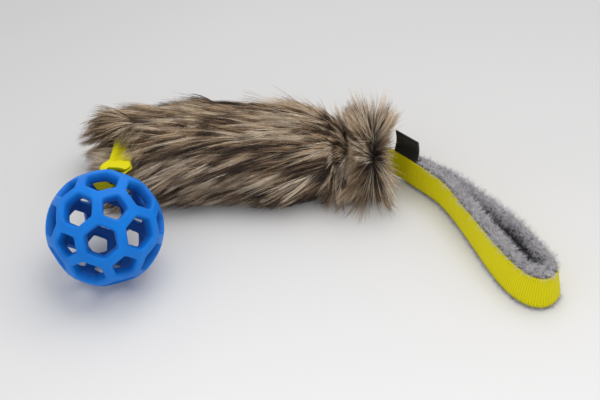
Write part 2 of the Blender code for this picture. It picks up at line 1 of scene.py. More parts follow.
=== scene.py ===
# Looks of a dog tug toy: a lattice ball on folded webbing, a long pile fur sleeve and a lined hand loop
import json
import math

import bmesh
import bpy
from mathutils import Euler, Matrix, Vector, noise
from mathutils.bvhtree import BVHTree
from mathutils.geometry import interpolate_bezier


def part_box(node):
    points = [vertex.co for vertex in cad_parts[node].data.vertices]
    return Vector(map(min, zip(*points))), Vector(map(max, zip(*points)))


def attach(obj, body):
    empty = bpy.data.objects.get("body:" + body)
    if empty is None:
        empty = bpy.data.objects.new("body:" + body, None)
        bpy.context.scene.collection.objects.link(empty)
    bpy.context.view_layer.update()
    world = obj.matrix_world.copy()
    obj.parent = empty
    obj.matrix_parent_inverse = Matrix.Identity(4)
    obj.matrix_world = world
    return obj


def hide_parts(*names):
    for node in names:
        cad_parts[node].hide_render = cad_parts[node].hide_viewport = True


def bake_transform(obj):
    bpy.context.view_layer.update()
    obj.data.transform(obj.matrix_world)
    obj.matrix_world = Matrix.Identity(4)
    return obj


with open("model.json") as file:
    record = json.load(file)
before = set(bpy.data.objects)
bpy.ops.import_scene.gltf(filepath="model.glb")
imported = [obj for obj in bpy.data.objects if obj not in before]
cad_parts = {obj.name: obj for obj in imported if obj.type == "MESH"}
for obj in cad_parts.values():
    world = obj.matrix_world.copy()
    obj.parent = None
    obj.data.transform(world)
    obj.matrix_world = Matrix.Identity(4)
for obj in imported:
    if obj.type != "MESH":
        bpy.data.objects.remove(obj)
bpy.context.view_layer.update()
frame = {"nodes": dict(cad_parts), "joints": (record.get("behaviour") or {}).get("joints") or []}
cadNodes = frame["nodes"]
pivots = {joint["name"]: Vector(joint["pos_m"]) for joint in frame["joints"]}
pivotAxes = {joint["name"]: Vector(joint["axis"]) for joint in frame["joints"]}
mm = 0.001
upward = Vector((0, 0, 1))
noise.seed_set(7)  # without a seed, noise_vector differs from run to run
print("frame loaded:", len(cadNodes), "nodes")


# small helpers

def linear(red, green, blue):
    # a colour as a picture shows it, 0 to 255, turned into what a shader takes
    shares = [value / 255 for value in (red, green, blue)]
    return (*[s / 12.92 if s <= 0.04045 else ((s + 0.055) / 1.055) ** 2.4 for s in shares], 1.0)


def ease(value):
    value = min(max(value, 0.0), 1.0)
    return value * value * (3 - 2 * value)


def rise(value, start, span):
    # 0 up to the start, 1 from a span past it, and eased between
    return ease((value - start) / span)


def between(table, at):
    # the value at a place in rows of (place, value), eased from row to row
    for (x0, v0), (x1, v1) in zip(table, table[1:]):
        if at <= x1:
            return v0 + (v1 - v0) * rise(at, x0, x1 - x0)
    return table[-1][1]


def middleOf(node):
    low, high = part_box(node)
    return (low + high) / 2


def smoothPath(points, count, steps=24):
    # evenly spaced points on a Catmull-Rom curve, as the solids have it
    padded = [2 * points[0] - points[1], *points, 2 * points[-1] - points[-2]]
    fine = []
    for a, b, c, d in zip(padded, padded[1:], padded[2:], padded[3:]):
        for k in range(steps):
            t = k / steps
            fine.append(0.5 * (2 * b + (c - a) * t + (2 * a - 5 * b + 4 * c - d) * t**2
                               + (3 * b - a - 3 * c + d) * t**3))
    fine.append(points[-1].copy())
    return evenPath(fine, count)


def evenPath(points, count):
    # evenly spaced points on straight runs between the given ones, and the length of them all
    lengths = [0.0]
    for first, second in zip(points, points[1:]):
        lengths.append(lengths[-1] + (second - first).length)
    path, at = [], 0
    for k in range(count):
        wanted = lengths[-1] * k / (count - 1)
        while at < len(points) - 2 and lengths[at + 1] < wanted:
            at += 1
        share = (wanted - lengths[at]) / (lengths[at + 1] - lengths[at])
        path.append(points[at].lerp(points[at + 1], share))
    return path, lengths[-1]


def tangentsOf(path):
    last = len(path) - 1
    return [(path[min(i + 1, last)] - path[max(i - 1, 0)]).normalized() for i in range(len(path))]


def coat(mesh, material):
    mesh.materials.clear()
    mesh.materials.append(material)


def addObject(name, mesh, material=None):
    piece = bpy.data.objects.new(name, mesh)
    bpy.context.scene.collection.objects.link(piece)
    if material:
        coat(mesh, material)
    mesh.shade_smooth()
    return piece


def meshFrom(name, points, faces, edges=()):
    mesh = bpy.data.meshes.new(name)
    mesh.from_pydata([tuple(point) for point in points], edges, faces)
    mesh.update()
    return mesh


def loft(name, rings):
    # a closed body through rings of equally many points
    size = len(rings[0])
    faces = []
    for row in range(len(rings) - 1):
        for i in range(size):
            j = (i + 1) % size
            faces.append((row * size + i, row * size + j, (row + 1) * size + j, (row + 1) * size + i))
    faces.append(tuple(reversed(range(size))))
    faces.append(tuple((len(rings) - 1) * size + i for i in range(size)))
    mesh = meshFrom(name, [point for ring in rings for point in ring], faces)
    bm = bmesh.new()
    bm.from_mesh(mesh)
    bmesh.ops.recalc_face_normals(bm, faces=bm.faces)
    bm.to_mesh(mesh)
    bm.free()
    return mesh


def setAttribute(mesh, name, values, kind="FLOAT"):
    attribute = mesh.attributes.new(name, kind, "POINT")
    flat = [part for value in values for part in value] if kind == "FLOAT_VECTOR" else list(values)
    attribute.data.foreach_set("vector" if kind == "FLOAT_VECTOR" else "value", flat)


def finished(piece, name=None):
    # the piece with its modifiers worked in, as a plain mesh
    bpy.context.view_layer.update()
    graph = bpy.context.evaluated_depsgraph_get()
    mesh = bpy.data.meshes.new_from_object(
        piece.evaluated_get(graph), preserve_all_data_layers=True, depsgraph=graph
    )
    mesh.name = name or piece.name
    return mesh


def settle(piece):
    mesh = finished(piece)
    piece.modifiers.clear()
    piece.data = mesh
    return piece


def drop(piece):
    bpy.data.objects.remove(piece, do_unlink=True)


# node helpers, for materials and for geometry

class Made:
    # a node that was added, with its outputs by name or number
    def __init__(self, tree, node):
        self.tree, self.node = tree, node

    def __getitem__(self, key):
        outputs = self.node.outputs
        if isinstance(key, str):
            return Wire(self.tree, next(s for s in outputs if s.enabled and s.name == key))
        return Wire(self.tree, outputs[key])


class Wire:
    # a node's output that sums and products are written with; an arrow is a vector
    def __init__(self, tree, socket):
        self.tree, self.socket = tree, socket
        self.isArrow = socket.type in ("VECTOR", "RGBA")

    def number(self, operation, *others, **settings):
        return numberOf(self.tree, operation, self, *others, **settings)

    def arrow(self, operation, second=None, scale=None):
        feeds = {key: value for key, value in ((0, self), (1, second), (3, scale)) if value is not None}
        made = addNode(self.tree, "ShaderNodeVectorMath", feeds, operation=operation)
        return made["Value" if operation in ("DOT_PRODUCT", "LENGTH") else "Vector"]

    def parts(self):
        return addNode(self.tree, "ShaderNodeSeparateXYZ", {0: self})

    def ranged(self, low, high, toLow=0.0, toHigh=1.0):
        feeds = {"Value": self, "From Min": low, "From Max": high, "To Min": toLow, "To Max": toHigh}
        return addNode(self.tree, "ShaderNodeMapRange", feeds)["Result"]

    def __add__(self, other):
        return self.arrow("ADD", other) if self.isArrow else self.number("ADD", other)

    def __sub__(self, other):
        return self.arrow("SUBTRACT", other) if self.isArrow else self.number("SUBTRACT", other)

    def __mul__(self, other):
        if not self.isArrow:
            return self.number("MULTIPLY", other)
        if isinstance(other, tuple) or getattr(other, "isArrow", False):
            return self.arrow("MULTIPLY", other)
        return self.arrow("SCALE", scale=other)

    def __truediv__(self, other):
        return self.number("DIVIDE", other)

    def __pow__(self, power):
        return self.number("POWER", power)

    def __rsub__(self, other):
        return numberOf(self.tree, "SUBTRACT", other, self)

    def __rtruediv__(self, other):
        return numberOf(self.tree, "DIVIDE", other, self)


def addNode(tree, kind, feeds=(), **settings):
    node = tree.nodes.new(kind)
    for key, value in settings.items():
        setattr(node, key, value)
    for key, value in dict(feeds).items():
        socket = node.inputs[key]
        if isinstance(key, str):
            socket = next(s for s in node.inputs if s.enabled and s.name == key)
        if isinstance(value, Wire):
            tree.links.new(value.socket, socket)
        else:
            socket.default_value = value
    return Made(tree, node)


def numberOf(tree, operation, *values, **settings):
    return addNode(tree, "ShaderNodeMath", enumerate(values), operation=operation, **settings)[0]


def noiseOf(tree, place, scale, detail=2.0, roughness=0.5):
    feeds = {"Vector": place, "Scale": scale, "Detail": detail, "Roughness": roughness}
    return addNode(tree, "ShaderNodeTexNoise", feeds)["Fac"]


def recall(tree, name, kind="FLOAT"):
    return addNode(tree, "GeometryNodeInputNamedAttribute", {"Name": name}, data_type=kind)["Attribute"]


def keep(tree, geometry, name, value, kind="FLOAT", domain="POINT"):
    feeds = {"Geometry": geometry, "Name": name, "Value": value}
    return addNode(tree, "GeometryNodeStoreNamedAttribute", feeds, data_type=kind, domain=domain)["Geometry"]


def positionOf(tree):
    return addNode(tree, "GeometryNodeInputPosition")[0]


def moved(tree, geometry, **feeds):
    return addNode(tree, "GeometryNodeSetPosition", {"Geometry": geometry, **feeds})[0]


def startTree(name, sizes):
    # a geometry tree with a named input for each size
    tree = bpy.data.node_groups.new(name, "GeometryNodeTree")
    tree.interface.new_socket("Geometry", in_out="INPUT", socket_type="NodeSocketGeometry")
    for label, value in sizes.items():
        kind = "NodeSocketInt" if isinstance(value, int) else "NodeSocketFloat"
        kind = "NodeSocketVector" if isinstance(value, tuple) else kind
        kind = "NodeSocketMaterial" if value is None else kind
        socket = tree.interface.new_socket(label, in_out="INPUT", socket_type=kind)
        if value is not None:
            socket.default_value = value
    tree.interface.new_socket("Geometry", in_out="OUTPUT", socket_type="NodeSocketGeometry")
    made = addNode(tree, "NodeGroupInput")
    return tree, {label: made[label] for label in ("Geometry", *sizes)}


def endTree(tree, geometry, material):
    real = addNode(tree, "GeometryNodeRealizeInstances", {"Geometry": geometry})[0]
    smooth = addNode(tree, "GeometryNodeSetShadeSmooth", {"Geometry": real})[0]
    done = addNode(tree, "GeometryNodeSetMaterial", {"Geometry": smooth, "Material": material})[0]
    addNode(tree, "NodeGroupOutput", {"Geometry": done})
    return tree


def grown(base, tree, values, name):
    # what a tree makes of a base object, as an object of its own with a plain mesh
    modifier = base.modifiers.new(tree.name, "NODES")
    modifier.node_group = tree
    for item in tree.interface.items_tree:
        if item.item_type == "SOCKET" and item.in_out == "INPUT" and item.name in values:
            modifier[item.identifier] = values[item.name]
    mesh = finished(base, name)
    base.modifiers.remove(modifier)
    return addObject(name, mesh)


# materials

def startMaterial(name, **shader):
    material = bpy.data.materials.new(name)
    material.use_nodes = True
    tree = material.node_tree
    principled = tree.nodes["Principled BSDF"]
    for key, value in shader.items():
        principled.inputs[key.replace("_", " ")].default_value = value
    return material, tree, principled


def objectPlace(tree, scale=(1.0, 1.0, 1.0)):
    source = addNode(tree, "ShaderNodeTexCoord")["Object"]
    return addNode(tree, "ShaderNodeMapping", {"Vector": source, "Scale": scale})[0]


def attributeOf(tree, name):
    return addNode(tree, "ShaderNodeAttribute", attribute_name=name)["Fac"]


def ramp(factor, stops):
    made = addNode(factor.tree, "ShaderNodeValToRGB", {"Fac": factor})
    band = made.node.color_ramp
    while len(band.elements) < len(stops):
        band.elements.new(0.5)
    for element, (place, color) in zip(band.elements, stops):
        element.position = place
        element.color = color
    return made["Color"]


def blendColor(factor, first, second):
    return addNode(factor.tree, "ShaderNodeMix", {0: factor, 6: first, 7: second}, data_type="RGBA")[2]


def paint(shader, color, height=None, depth=0.0, strength=1.0):
    # a colour and, where a height is given, a bump of that depth
    color.tree.links.new(color.socket, shader.inputs["Base Color"])
    if height:
        feeds = {"Height": height, "Distance": depth, "Strength": strength}
        bump = addNode(color.tree, "ShaderNodeBump", feeds)[0]
        color.tree.links.new(bump.socket, shader.inputs["Normal"])


# inside is a painted shade colour for the holes' inner walls
rubberLook = dict(
    color=linear(0, 128, 228), deep=linear(0, 112, 208), inside=linear(0, 70, 150), roughness=0.42,
    cloud=55.0, grain=1 / (0.9 * mm), grainDepth=0.02 * mm, outerRadius=44.5 * mm, innerRadius=35.5 * mm,
)


def makeRubber():
    # painted shade: the blue darkens toward the inside of the wall, where the holes' walls lie in shade
    material, tree, shader = startMaterial(
        "blueRubber", Roughness=rubberLook["roughness"], Specular_IOR_Level=0.2,
    )
    place = objectPlace(tree)
    cloud = noiseOf(tree, place, rubberLook["cloud"], 3.0)
    color = ramp(cloud, [(0.3, rubberLook["deep"]), (0.7, rubberLook["color"])])
    fromMiddle = (place - tuple(middleOf("ball"))).arrow("LENGTH")
    # share of the way into the wall, which draws the colour toward the painted inside shade
    depth = fromMiddle.ranged(rubberLook["outerRadius"], rubberLook["innerRadius"])
    grain = noiseOf(tree, place, rubberLook["grain"], 3.0)
    paint(shader, blendColor(depth, color, rubberLook["inside"]), grain, rubberLook["grainDepth"], 0.6)
    return material


webbingLook = dict(
    color=linear(228, 217, 0), shade=linear(200, 190, 0), roughness=0.6, yarn=0.42 * mm,
    weaveDepth=0.05 * mm, patches=45.0, ribShare=0.55, patchShare=0.45,
)


def makeWebbingCloth():
    # a woven face on the strap's own lengths: warp yarns side by side, with each rib crossing them
    material, tree, shader = startMaterial(
        "yellowWebbing", Roughness=webbingLook["roughness"], Specular_IOR_Level=0.16,
    )
    yarns = (attributeOf(tree, "acrossLength") * (2 * math.pi / webbingLook["yarn"])).number("SINE")
    wefts = (attributeOf(tree, "alongLength") * (math.pi / webbingLook["yarn"])).number("SINE")
    patches = noiseOf(tree, objectPlace(tree), webbingLook["patches"], 3.0)
    # painted light and shade: rib crests lighter and the troughs between ribs darker; the patches are the
    # tape's own uneven tone
    tone = attributeOf(tree, "rib") * webbingLook["ribShare"] + patches * webbingLook["patchShare"]
    color = ramp(tone, [(0.1, webbingLook["shade"]), (0.62, webbingLook["color"])])
    paint(shader, color, yarns * wefts, webbingLook["weaveDepth"], 0.5)
    return material


threadLook = dict(fibre=900.0, depth=0.05 * mm, darker=0.6)


def makeThread(name, color, roughness):
    material, tree, shader = startMaterial(name, Roughness=roughness, Specular_IOR_Level=0.2)
    cloud = noiseOf(tree, objectPlace(tree), threadLook["fibre"])
    darker = tuple(part * threadLook["darker"] for part in color[:3]) + (1.0,)
    paint(shader, ramp(cloud, [(0.35, darker), (0.65, color)]), cloud, threadLook["depth"])
    return material


furLook = dict(
    root=linear(48, 37, 29), dark=linear(62, 48, 38), brown=linear(140, 112, 86), tan=linear(214, 184, 148),
    cream=linear(246, 230, 206), tip=linear(50, 39, 32), roughness=0.6, rootShare=0.75,
    backingDark=linear(30, 24, 20), backing=linear(70, 58, 50), backingCloud=90.0, backingDepth=1.0 * mm,
)
black, white = (0, 0, 0, 1), (1, 1, 1, 1)


def makeFur(name, tipShare, rootReach=0.36):
    # colour by strand and along it: dark roots, a banded middle, and dark ends on some
    material, tree, shader = startMaterial(
        name, Roughness=furLook["roughness"], Specular_IOR_Level=0.25, Sheen_Weight=0.08,
        Sheen_Roughness=0.5,
    )
    along = attributeOf(tree, "along")
    strand = ramp(attributeOf(tree, "tone"), [(0.12, furLook["dark"]), (0.4, furLook["brown"]),
                                              (0.66, furLook["tan"]), (0.92, furLook["cream"])])
    rooted = ramp(along, [(rootReach * 0.2, white), (rootReach, black)])
    ended = ramp(along, [(0.62, black), (0.95, white)])
    withRoot = blendColor(rooted.number("MULTIPLY", furLook["rootShare"]), strand, furLook["root"])
    tips = ended.number("MULTIPLY", attributeOf(tree, "tipTone") * tipShare)
    paint(shader, blendColor(tips, withRoot, furLook["tip"]))
    return material


def makeFurBacking():
    material, tree, shader = startMaterial("furBacking", Roughness=0.9, Sheen_Weight=0.1)
    cloud = noiseOf(tree, objectPlace(tree, (1.0, 3.0, 3.0)), furLook["backingCloud"], 4.0, 0.6)
    color = ramp(cloud, [(0.3, furLook["backingDark"]), (0.7, furLook["backing"])])
    paint(shader, color, cloud, furLook["backingDepth"])
    return material


fleeceLook = dict(
    dark=linear(78, 77, 82), middle=linear(138, 135, 140), light=linear(226, 223, 226), roughness=0.85,
    curl=420.0, depth=0.8 * mm, curlShare=0.5, rimLightShare=0.66, alongShare=0.3, tuftShare=0.34, darker=0.3,
)


def makeFleeceCloth(name, strands):
    # lighter toward the lining's borders, a painted light as on its lit upper border, and in the pile by
    # tuft and toward each strand's end
    material, tree, shader = startMaterial(
        name, Roughness=fleeceLook["roughness"], Sheen_Weight=0.25, Sheen_Roughness=0.6,
        Specular_IOR_Level=0.2,
    )
    curls = noiseOf(tree, objectPlace(tree), fleeceLook["curl"], 3.0, 0.6)
    tone = curls * fleeceLook["curlShare"] + attributeOf(tree, "rimLightShare") * fleeceLook["rimLightShare"]
    if strands:
        tone = tone + attributeOf(tree, "along") * fleeceLook["alongShare"]
        tone = tone + attributeOf(tree, "tuftTone") * fleeceLook["tuftShare"]
    color = ramp(tone - fleeceLook["darker"], [(0.25, fleeceLook["dark"]), (0.55, fleeceLook["middle"]),
                                               (0.95, fleeceLook["light"])])
    paint(shader, color, curls, fleeceLook["depth"])
    return material


labelLook = dict(dark=linear(14, 14, 15), light=linear(38, 38, 40), roughness=0.38, weave=900.0, cloud=160.0,
                 weaveShare=0.4, cloudShare=0.6, depth=0.04 * mm)


def makeLabelCloth():
    material, tree, shader = startMaterial(
        "blackLabel", Roughness=labelLook["roughness"], Specular_IOR_Level=0.5, Sheen_Weight=0.1,
    )
    place = objectPlace(tree)
    feeds = {"Vector": place, "Scale": labelLook["weave"], "Distortion": 0.4}
    weave = addNode(tree, "ShaderNodeTexWave", feeds, bands_direction="Z")["Fac"]
    cloud = noiseOf(tree, place, labelLook["cloud"])
    tone = weave * labelLook["weaveShare"] + cloud * labelLook["cloudShare"]
    color = ramp(tone, [(0.3, labelLook["dark"]), (0.8, labelLook["light"])])
    paint(shader, color, weave, labelLook["depth"])
    return material


rubber = makeRubber()
webbingCloth = makeWebbingCloth()
yellowThread = makeThread("yellowThread", linear(214, 208, 30), 0.55)
darkThread = makeThread("darkThread", linear(50, 42, 36), 0.8)
furPile = makeFur("furPile", 0.85)
furGuard = makeFur("furGuard", 1.0)
furFan = makeFur("furFan", 0.5, 0.7)
furBacking = makeFurBacking()
fleeceCloth = makeFleeceCloth("fleeceCloth", False)
fleeceCurls = makeFleeceCloth("fleeceCurls", True)
labelCloth = makeLabelCloth()
print("materials made")


# camera, floor and light

view = dict(lens=70.0, sensor=36.0, elevation=40.0, aim=(0.064, -0.030, 0.0), distance=0.974)
studio = dict(
    floorHalf=4.0, floorTones=((0.0, linear(235, 234, 233)), (0.4, linear(215, 214, 213)),
                               (1.0, linear(199, 198, 197))),
    floorStart=-0.25, floorEnd=0.4, leftShade=0.6, sky=(0.98, 0.985, 1.0, 1.0), skyStrength=0.74,
)
lamps = dict(
    keyLamp=dict(place=(0.3, 0.25, 1.2), size=1.1, power=7.0),
    fillLamp=dict(place=(-0.9, -0.8, 1.0), size=1.4, power=2.0),
)


def setCamera():
    camera = bpy.data.objects.new("camera", bpy.data.cameras.new("camera"))
    bpy.context.scene.collection.objects.link(camera)
    camera.data.lens = view["lens"]
    camera.data.sensor_width = view["sensor"]
    angle = math.radians(view["elevation"])
    camera.location = Vector(view["aim"]) + Vector((0, -math.cos(angle), math.sin(angle))) * view["distance"]
    camera.rotation_euler = (math.pi / 2 - angle, 0, 0)
    bpy.context.scene.camera = camera


def addLamp(name, place, size, power):
    lamp = bpy.data.objects.new(name, bpy.data.lights.new(name, "AREA"))
    lamp.data.size = size
    lamp.data.energy = power
    lamp.location = place
    lamp.rotation_euler = (Vector(view["aim"]) - Vector(place)).to_track_quat("-Z", "Y").to_euler()
    bpy.context.scene.collection.objects.link(lamp)


def setStudio():
    half = studio["floorHalf"]
    corners = [(-half, -half, 0), (half, -half, 0), (half, half, 0), (-half, half, 0)]
    material, tree, shader = startMaterial("floorWithPaintedShade", Roughness=0.8, Specular_IOR_Level=0.2)
    # painted shade: the floor's colour darkens toward the back and toward the left, as the lamps' light
    # falls off
    place = objectPlace(tree).parts()
    left = (place["X"] * -studio["leftShade"]).number("MAXIMUM", 0.0)
    share = (place["Y"] + left).ranged(studio["floorStart"], studio["floorEnd"])
    paint(shader, ramp(share, studio["floorTones"]))
    addObject("floor", meshFrom("floor", corners, [(0, 1, 2, 3)]), material)
    world = bpy.data.worlds.new("studioSky")
    world.use_nodes = True
    world.node_tree.nodes["Background"].inputs["Color"].default_value = studio["sky"]
    world.node_tree.nodes["Background"].inputs["Strength"].default_value = studio["skyStrength"]
    bpy.context.scene.world = world
    for name, lamp in lamps.items():
        addLamp(name, **lamp)
    bpy.context.scene.view_settings.view_transform = "Standard"


setCamera()
setStudio()
print("camera, floor and light set")


# lattice ball

ball = dict(diameter=89.0 * mm, wall=8.5 * mm, strutWidth=8.7 * mm, edgeRound=1.9 * mm, turn=(29, 14, 11),
            cornerCut=100 / 3, fineness=1)


def footballCage():
    # a truncated icosahedron of unit radius, turned as the ball lies
    bm = bmesh.new()
    bmesh.ops.create_icosphere(bm, subdivisions=1, radius=1.0)
    bmesh.ops.bevel(bm, geom=list(bm.verts), offset=ball["cornerCut"], offset_type="PERCENT",
                    affect="VERTICES", segments=1)
    turn = Euler([math.radians(angle) for angle in ball["turn"]]).to_matrix()
    bmesh.ops.rotate(bm, verts=bm.verts, cent=(0, 0, 0), matrix=turn)
    for vertex in bm.verts:
        vertex.co.normalize()
    mesh = bpy.data.meshes.new("footballCage")
    bm.to_mesh(mesh)
    bm.free()
    return addObject("footballCage", mesh)


def latticeTree():
    # every face of a cage is inset by half a strut, its middle taken out, and the rest drawn onto a sphere
    tree, given = startTree("latticeBall", {
        "Radius": ball["diameter"] / 2, "Strut Width": ball["strutWidth"], "Fineness": ball["fineness"],
        "Material": None,
    })
    sized = moved(tree, given["Geometry"], Position=positionOf(tree) * given["Radius"])
    area = addNode(tree, "GeometryNodeInputMeshFaceArea")[0]
    sides = addNode(tree, "GeometryNodeInputMeshFaceNeighbors")["Vertex Count"]
    inradius = (area / (sides * (math.pi / sides).number("TANGENT"))).number("SQRT")
    holeShare = 1.0 - given["Strut Width"] * 0.5 / inradius
    marked = keep(tree, sized, "holeShare", holeShare, domain="FACE")
    raised = addNode(tree, "GeometryNodeExtrudeMesh", {
        "Mesh": marked, "Offset Scale": 0.0, "Individual": True,
    }, mode="FACES")
    shrunk = addNode(tree, "GeometryNodeScaleElements", {
        "Geometry": raised["Mesh"], "Selection": raised["Top"], "Scale": recall(tree, "holeShare"),
    }, domain="FACE")[0]
    opened = addNode(tree, "GeometryNodeDeleteGeometry", {
        "Geometry": shrunk, "Selection": raised["Top"],
    }, domain="FACE", mode="ALL")[0]
    merged = addNode(tree, "GeometryNodeMergeByDistance", {"Geometry": opened, "Distance": 0.01 * mm})[0]
    fine = addNode(tree, "GeometryNodeSubdivideMesh", {"Mesh": merged, "Level": given["Fineness"]})[0]
    sphere = moved(tree, fine, Position=positionOf(tree).arrow("NORMALIZE") * given["Radius"])
    return endTree(tree, sphere, given["Material"])


def makeBall():
    cage = footballCage()
    piece = grown(cage, latticeTree(), {"Material": rubber}, "latticeBall")
    drop(cage)
    wall = piece.modifiers.new("wall", "SOLIDIFY")
    wall.thickness = ball["wall"]
    wall.offset = -1.0
    rounding = piece.modifiers.new("rounding", "BEVEL")
    rounding.width = ball["edgeRound"]
    rounding.segments = 2
    rounding.limit_method = "ANGLE"
    rounding.angle_limit = math.radians(40)
    smooth = piece.modifiers.new("smooth", "SUBSURF")
    smooth.levels = smooth.render_levels = 1
    settle(piece)
    centre = middleOf("ball")
    for vertex in piece.data.vertices:
        vertex.co += centre
    piece.data.shade_smooth()
    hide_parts("ball")
    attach(piece, "ball")


makeBall()
print("ball made")


# webbing, woven from a ribbon of the strap's middle surface

webbing = dict(
    width=25 * mm, thickness=1.7 * mm, gap=0.4 * mm, lift=2.2 * mm, ribPitch=1.9 * mm, ribHeight=0.2 * mm,
    crestPower=0.7, edgeFade=0.1, rimPower=7.0, endFade=0.8 * mm, columns=15, stationStep=0.32 * mm,
)
layerPitch = webbing["thickness"] + webbing["gap"]


def ribbon(name, rows, length):
    # rows of points across the strap, with each point's lengths along and across kept on it
    columns = len(rows[0])
    faces = []
    for row in range(len(rows) - 1):
        for i in range(columns - 1):
            a = row * columns + i
            faces.append((a, a + 1, a + columns + 1, a + columns))
    mesh = meshFrom(name, [point for row in rows for point in row], faces)
    alongs = [length * row / (len(rows) - 1) for row in range(len(rows)) for _ in range(columns)]
    shares = [2 * i / (columns - 1) - 1 for _ in rows for i in range(columns)]
    setAttribute(mesh, "alongLength", alongs)
    setAttribute(mesh, "acrossShare", shares)
    setAttribute(mesh, "acrossLength", [share * webbing["width"] / 2 for share in shares])
    setAttribute(mesh, "endDistance", [min(along, length - along) for along in alongs])
    return addObject(name, mesh)


def webbingTree():
    # two faces with ribs across the strap, drawn together at its borders
    tree, given = startTree("ribbedWebbing", {
        "Thickness": webbing["thickness"], "Rib Pitch": webbing["ribPitch"],
        "Rib Height": webbing["ribHeight"], "Edge Fade": webbing["edgeFade"], "Material": None,
    })
    across = recall(tree, "acrossShare").number("ABSOLUTE")
    body = (1.0 - across ** webbing["rimPower"]).number("MAXIMUM", 0.0) ** 0.5
    endFade = (recall(tree, "endDistance") / webbing["endFade"]).number("MINIMUM", 1.0)
    turns = recall(tree, "alongLength") / given["Rib Pitch"]
    fade = across.ranged(1.0 - given["Edge Fade"], 1.0, 1.0, 0.0)
    wave = (turns * (2 * math.pi)).number("COSINE")
    crest = (wave * 0.5 + 0.5) ** webbing["crestPower"] * fade
    height = given["Thickness"] * 0.5 + (crest - 1.0) * given["Rib Height"] * fade
    height = height * body * endFade
    # the rib's crest, kept for the cloth's painted light on crests and shade between ribs
    marked = keep(tree, given["Geometry"], "rib", crest)
    normal = addNode(tree, "GeometryNodeInputNormal")[0]
    upper = moved(tree, marked, Offset=normal * (height * 1.0))
    lower = moved(tree, marked, Offset=normal * (height * -1.0))
    lower = addNode(tree, "GeometryNodeFlipFaces", {"Mesh": lower})[0]
    both = addNode(tree, "GeometryNodeJoinGeometry")
    for face in (upper, lower):
        tree.links.new(face.socket, both.node.inputs[0])
    closed = addNode(tree, "GeometryNodeMergeByDistance", {"Geometry": both[0], "Distance": 0.002 * mm})[0]
    return endTree(tree, closed, given["Material"])


ribbedWebbing = webbingTree()


def wovenStrap(name, rows, length):
    base = ribbon(name + "Ribbon", rows, length)
    piece = grown(base, ribbedWebbing, {"Material": webbingCloth}, name)
    drop(base)
    return piece


# hand loop: the webbing runs out from the gather, round the hand and back

handLoop = dict(
    throat=((6.8, 0), (15, 2), (25, 3), (34, -2.5)),
    near=((43, -13), (54, -25), (64, -38), (72, -54), (80, -74), (88, -94), (95, -112), (103, -130)),
    tip=((111, -144), (120, -153), (129, -156), (137, -153), (143, -145), (143.5, -135)),
    far=((139, -123), (131, -107), (122, -91), (111, -74), (98, -57), (85, -40), (72, -26), (60, -15),
         (48, -7)),
    lean=12.0, leanShares=((0.22, 0), (0.42, 1), (0.5, 1), (0.64, 0)), bunch=24 * mm, gathered=9 * mm,
    measuringPoints=80,
)
gatherPlace = pivots["handle_swing"]


def handLoopLine(count):
    floorPoint = Vector((gatherPlace.x, gatherPlace.y, 0))
    throat = [floorPoint + Vector((x, y, 0)) * mm for x, y in handLoop["throat"]]
    back = [point + Vector((-t.y, t.x, 0)) * layerPitch for point, t in zip(throat, tangentsOf(throat))]
    route = (*handLoop["near"], *handLoop["tip"], *handLoop["far"])
    outward = [floorPoint + Vector((x, y, 0)) * mm for x, y in route]
    return smoothPath([*throat, *outward, *reversed(back)], count)


def inward(tangent):
    return Vector((-tangent.y, tangent.x, 0)).normalized()


def leanAt(share):
    return math.tan(math.radians(handLoop["lean"])) * between(handLoop["leanShares"], share)


def openingAt(distance):
    # height of the webbing and of its middle, from the bunched gather to its full width
    share = ease(distance / handLoop["bunch"])
    height = handLoop["gathered"] + (webbing["width"] - handLoop["gathered"]) * share
    middle = gatherPlace.z + (webbing["lift"] + webbing["width"] / 2 - gatherPlace.z) * share
    return height, middle


def handLoopStations(step):
    # the loop's length, and points a step apart: share of the length, length so far, point, inward, up
    length = handLoopLine(handLoop["measuringPoints"])[1]
    path, length = handLoopLine(round(length / step))
    last = len(path) - 1
    stations = []
    for k, (point, tangent) in enumerate(zip(path, tangentsOf(path))):
        side = inward(tangent)
        stations.append((k / last, length * k / last, point, side, upward + side * leanAt(k / last)))
    return length, stations


def makeHandWebbing():
    length, stations = handLoopStations(webbing["stationStep"])
    last = webbing["columns"] - 1
    rows = []
    for share, _, point, _, up in stations:
        height, middle = openingAt(length * min(share, 1 - share))
        centre = Vector((point.x, point.y, middle))
        rows.append([centre + up * (height * (i / last - 0.5)) for i in range(last + 1)])
    piece = wovenStrap("handWebbing", rows, length)
    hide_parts("handle_webbing")
    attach(piece, "handle")


stitching = dict(
    pitch=3.2 * mm, stitch=2.2 * mm, yarn=0.26 * mm, sunk=0.35, pinch=0.75, fromBorder=2.6 * mm,
    start=58 * mm, end=58 * mm, tackStart=49 * mm, tackLength=4 * mm, tackRows=5, stationStep=1 * mm,
)


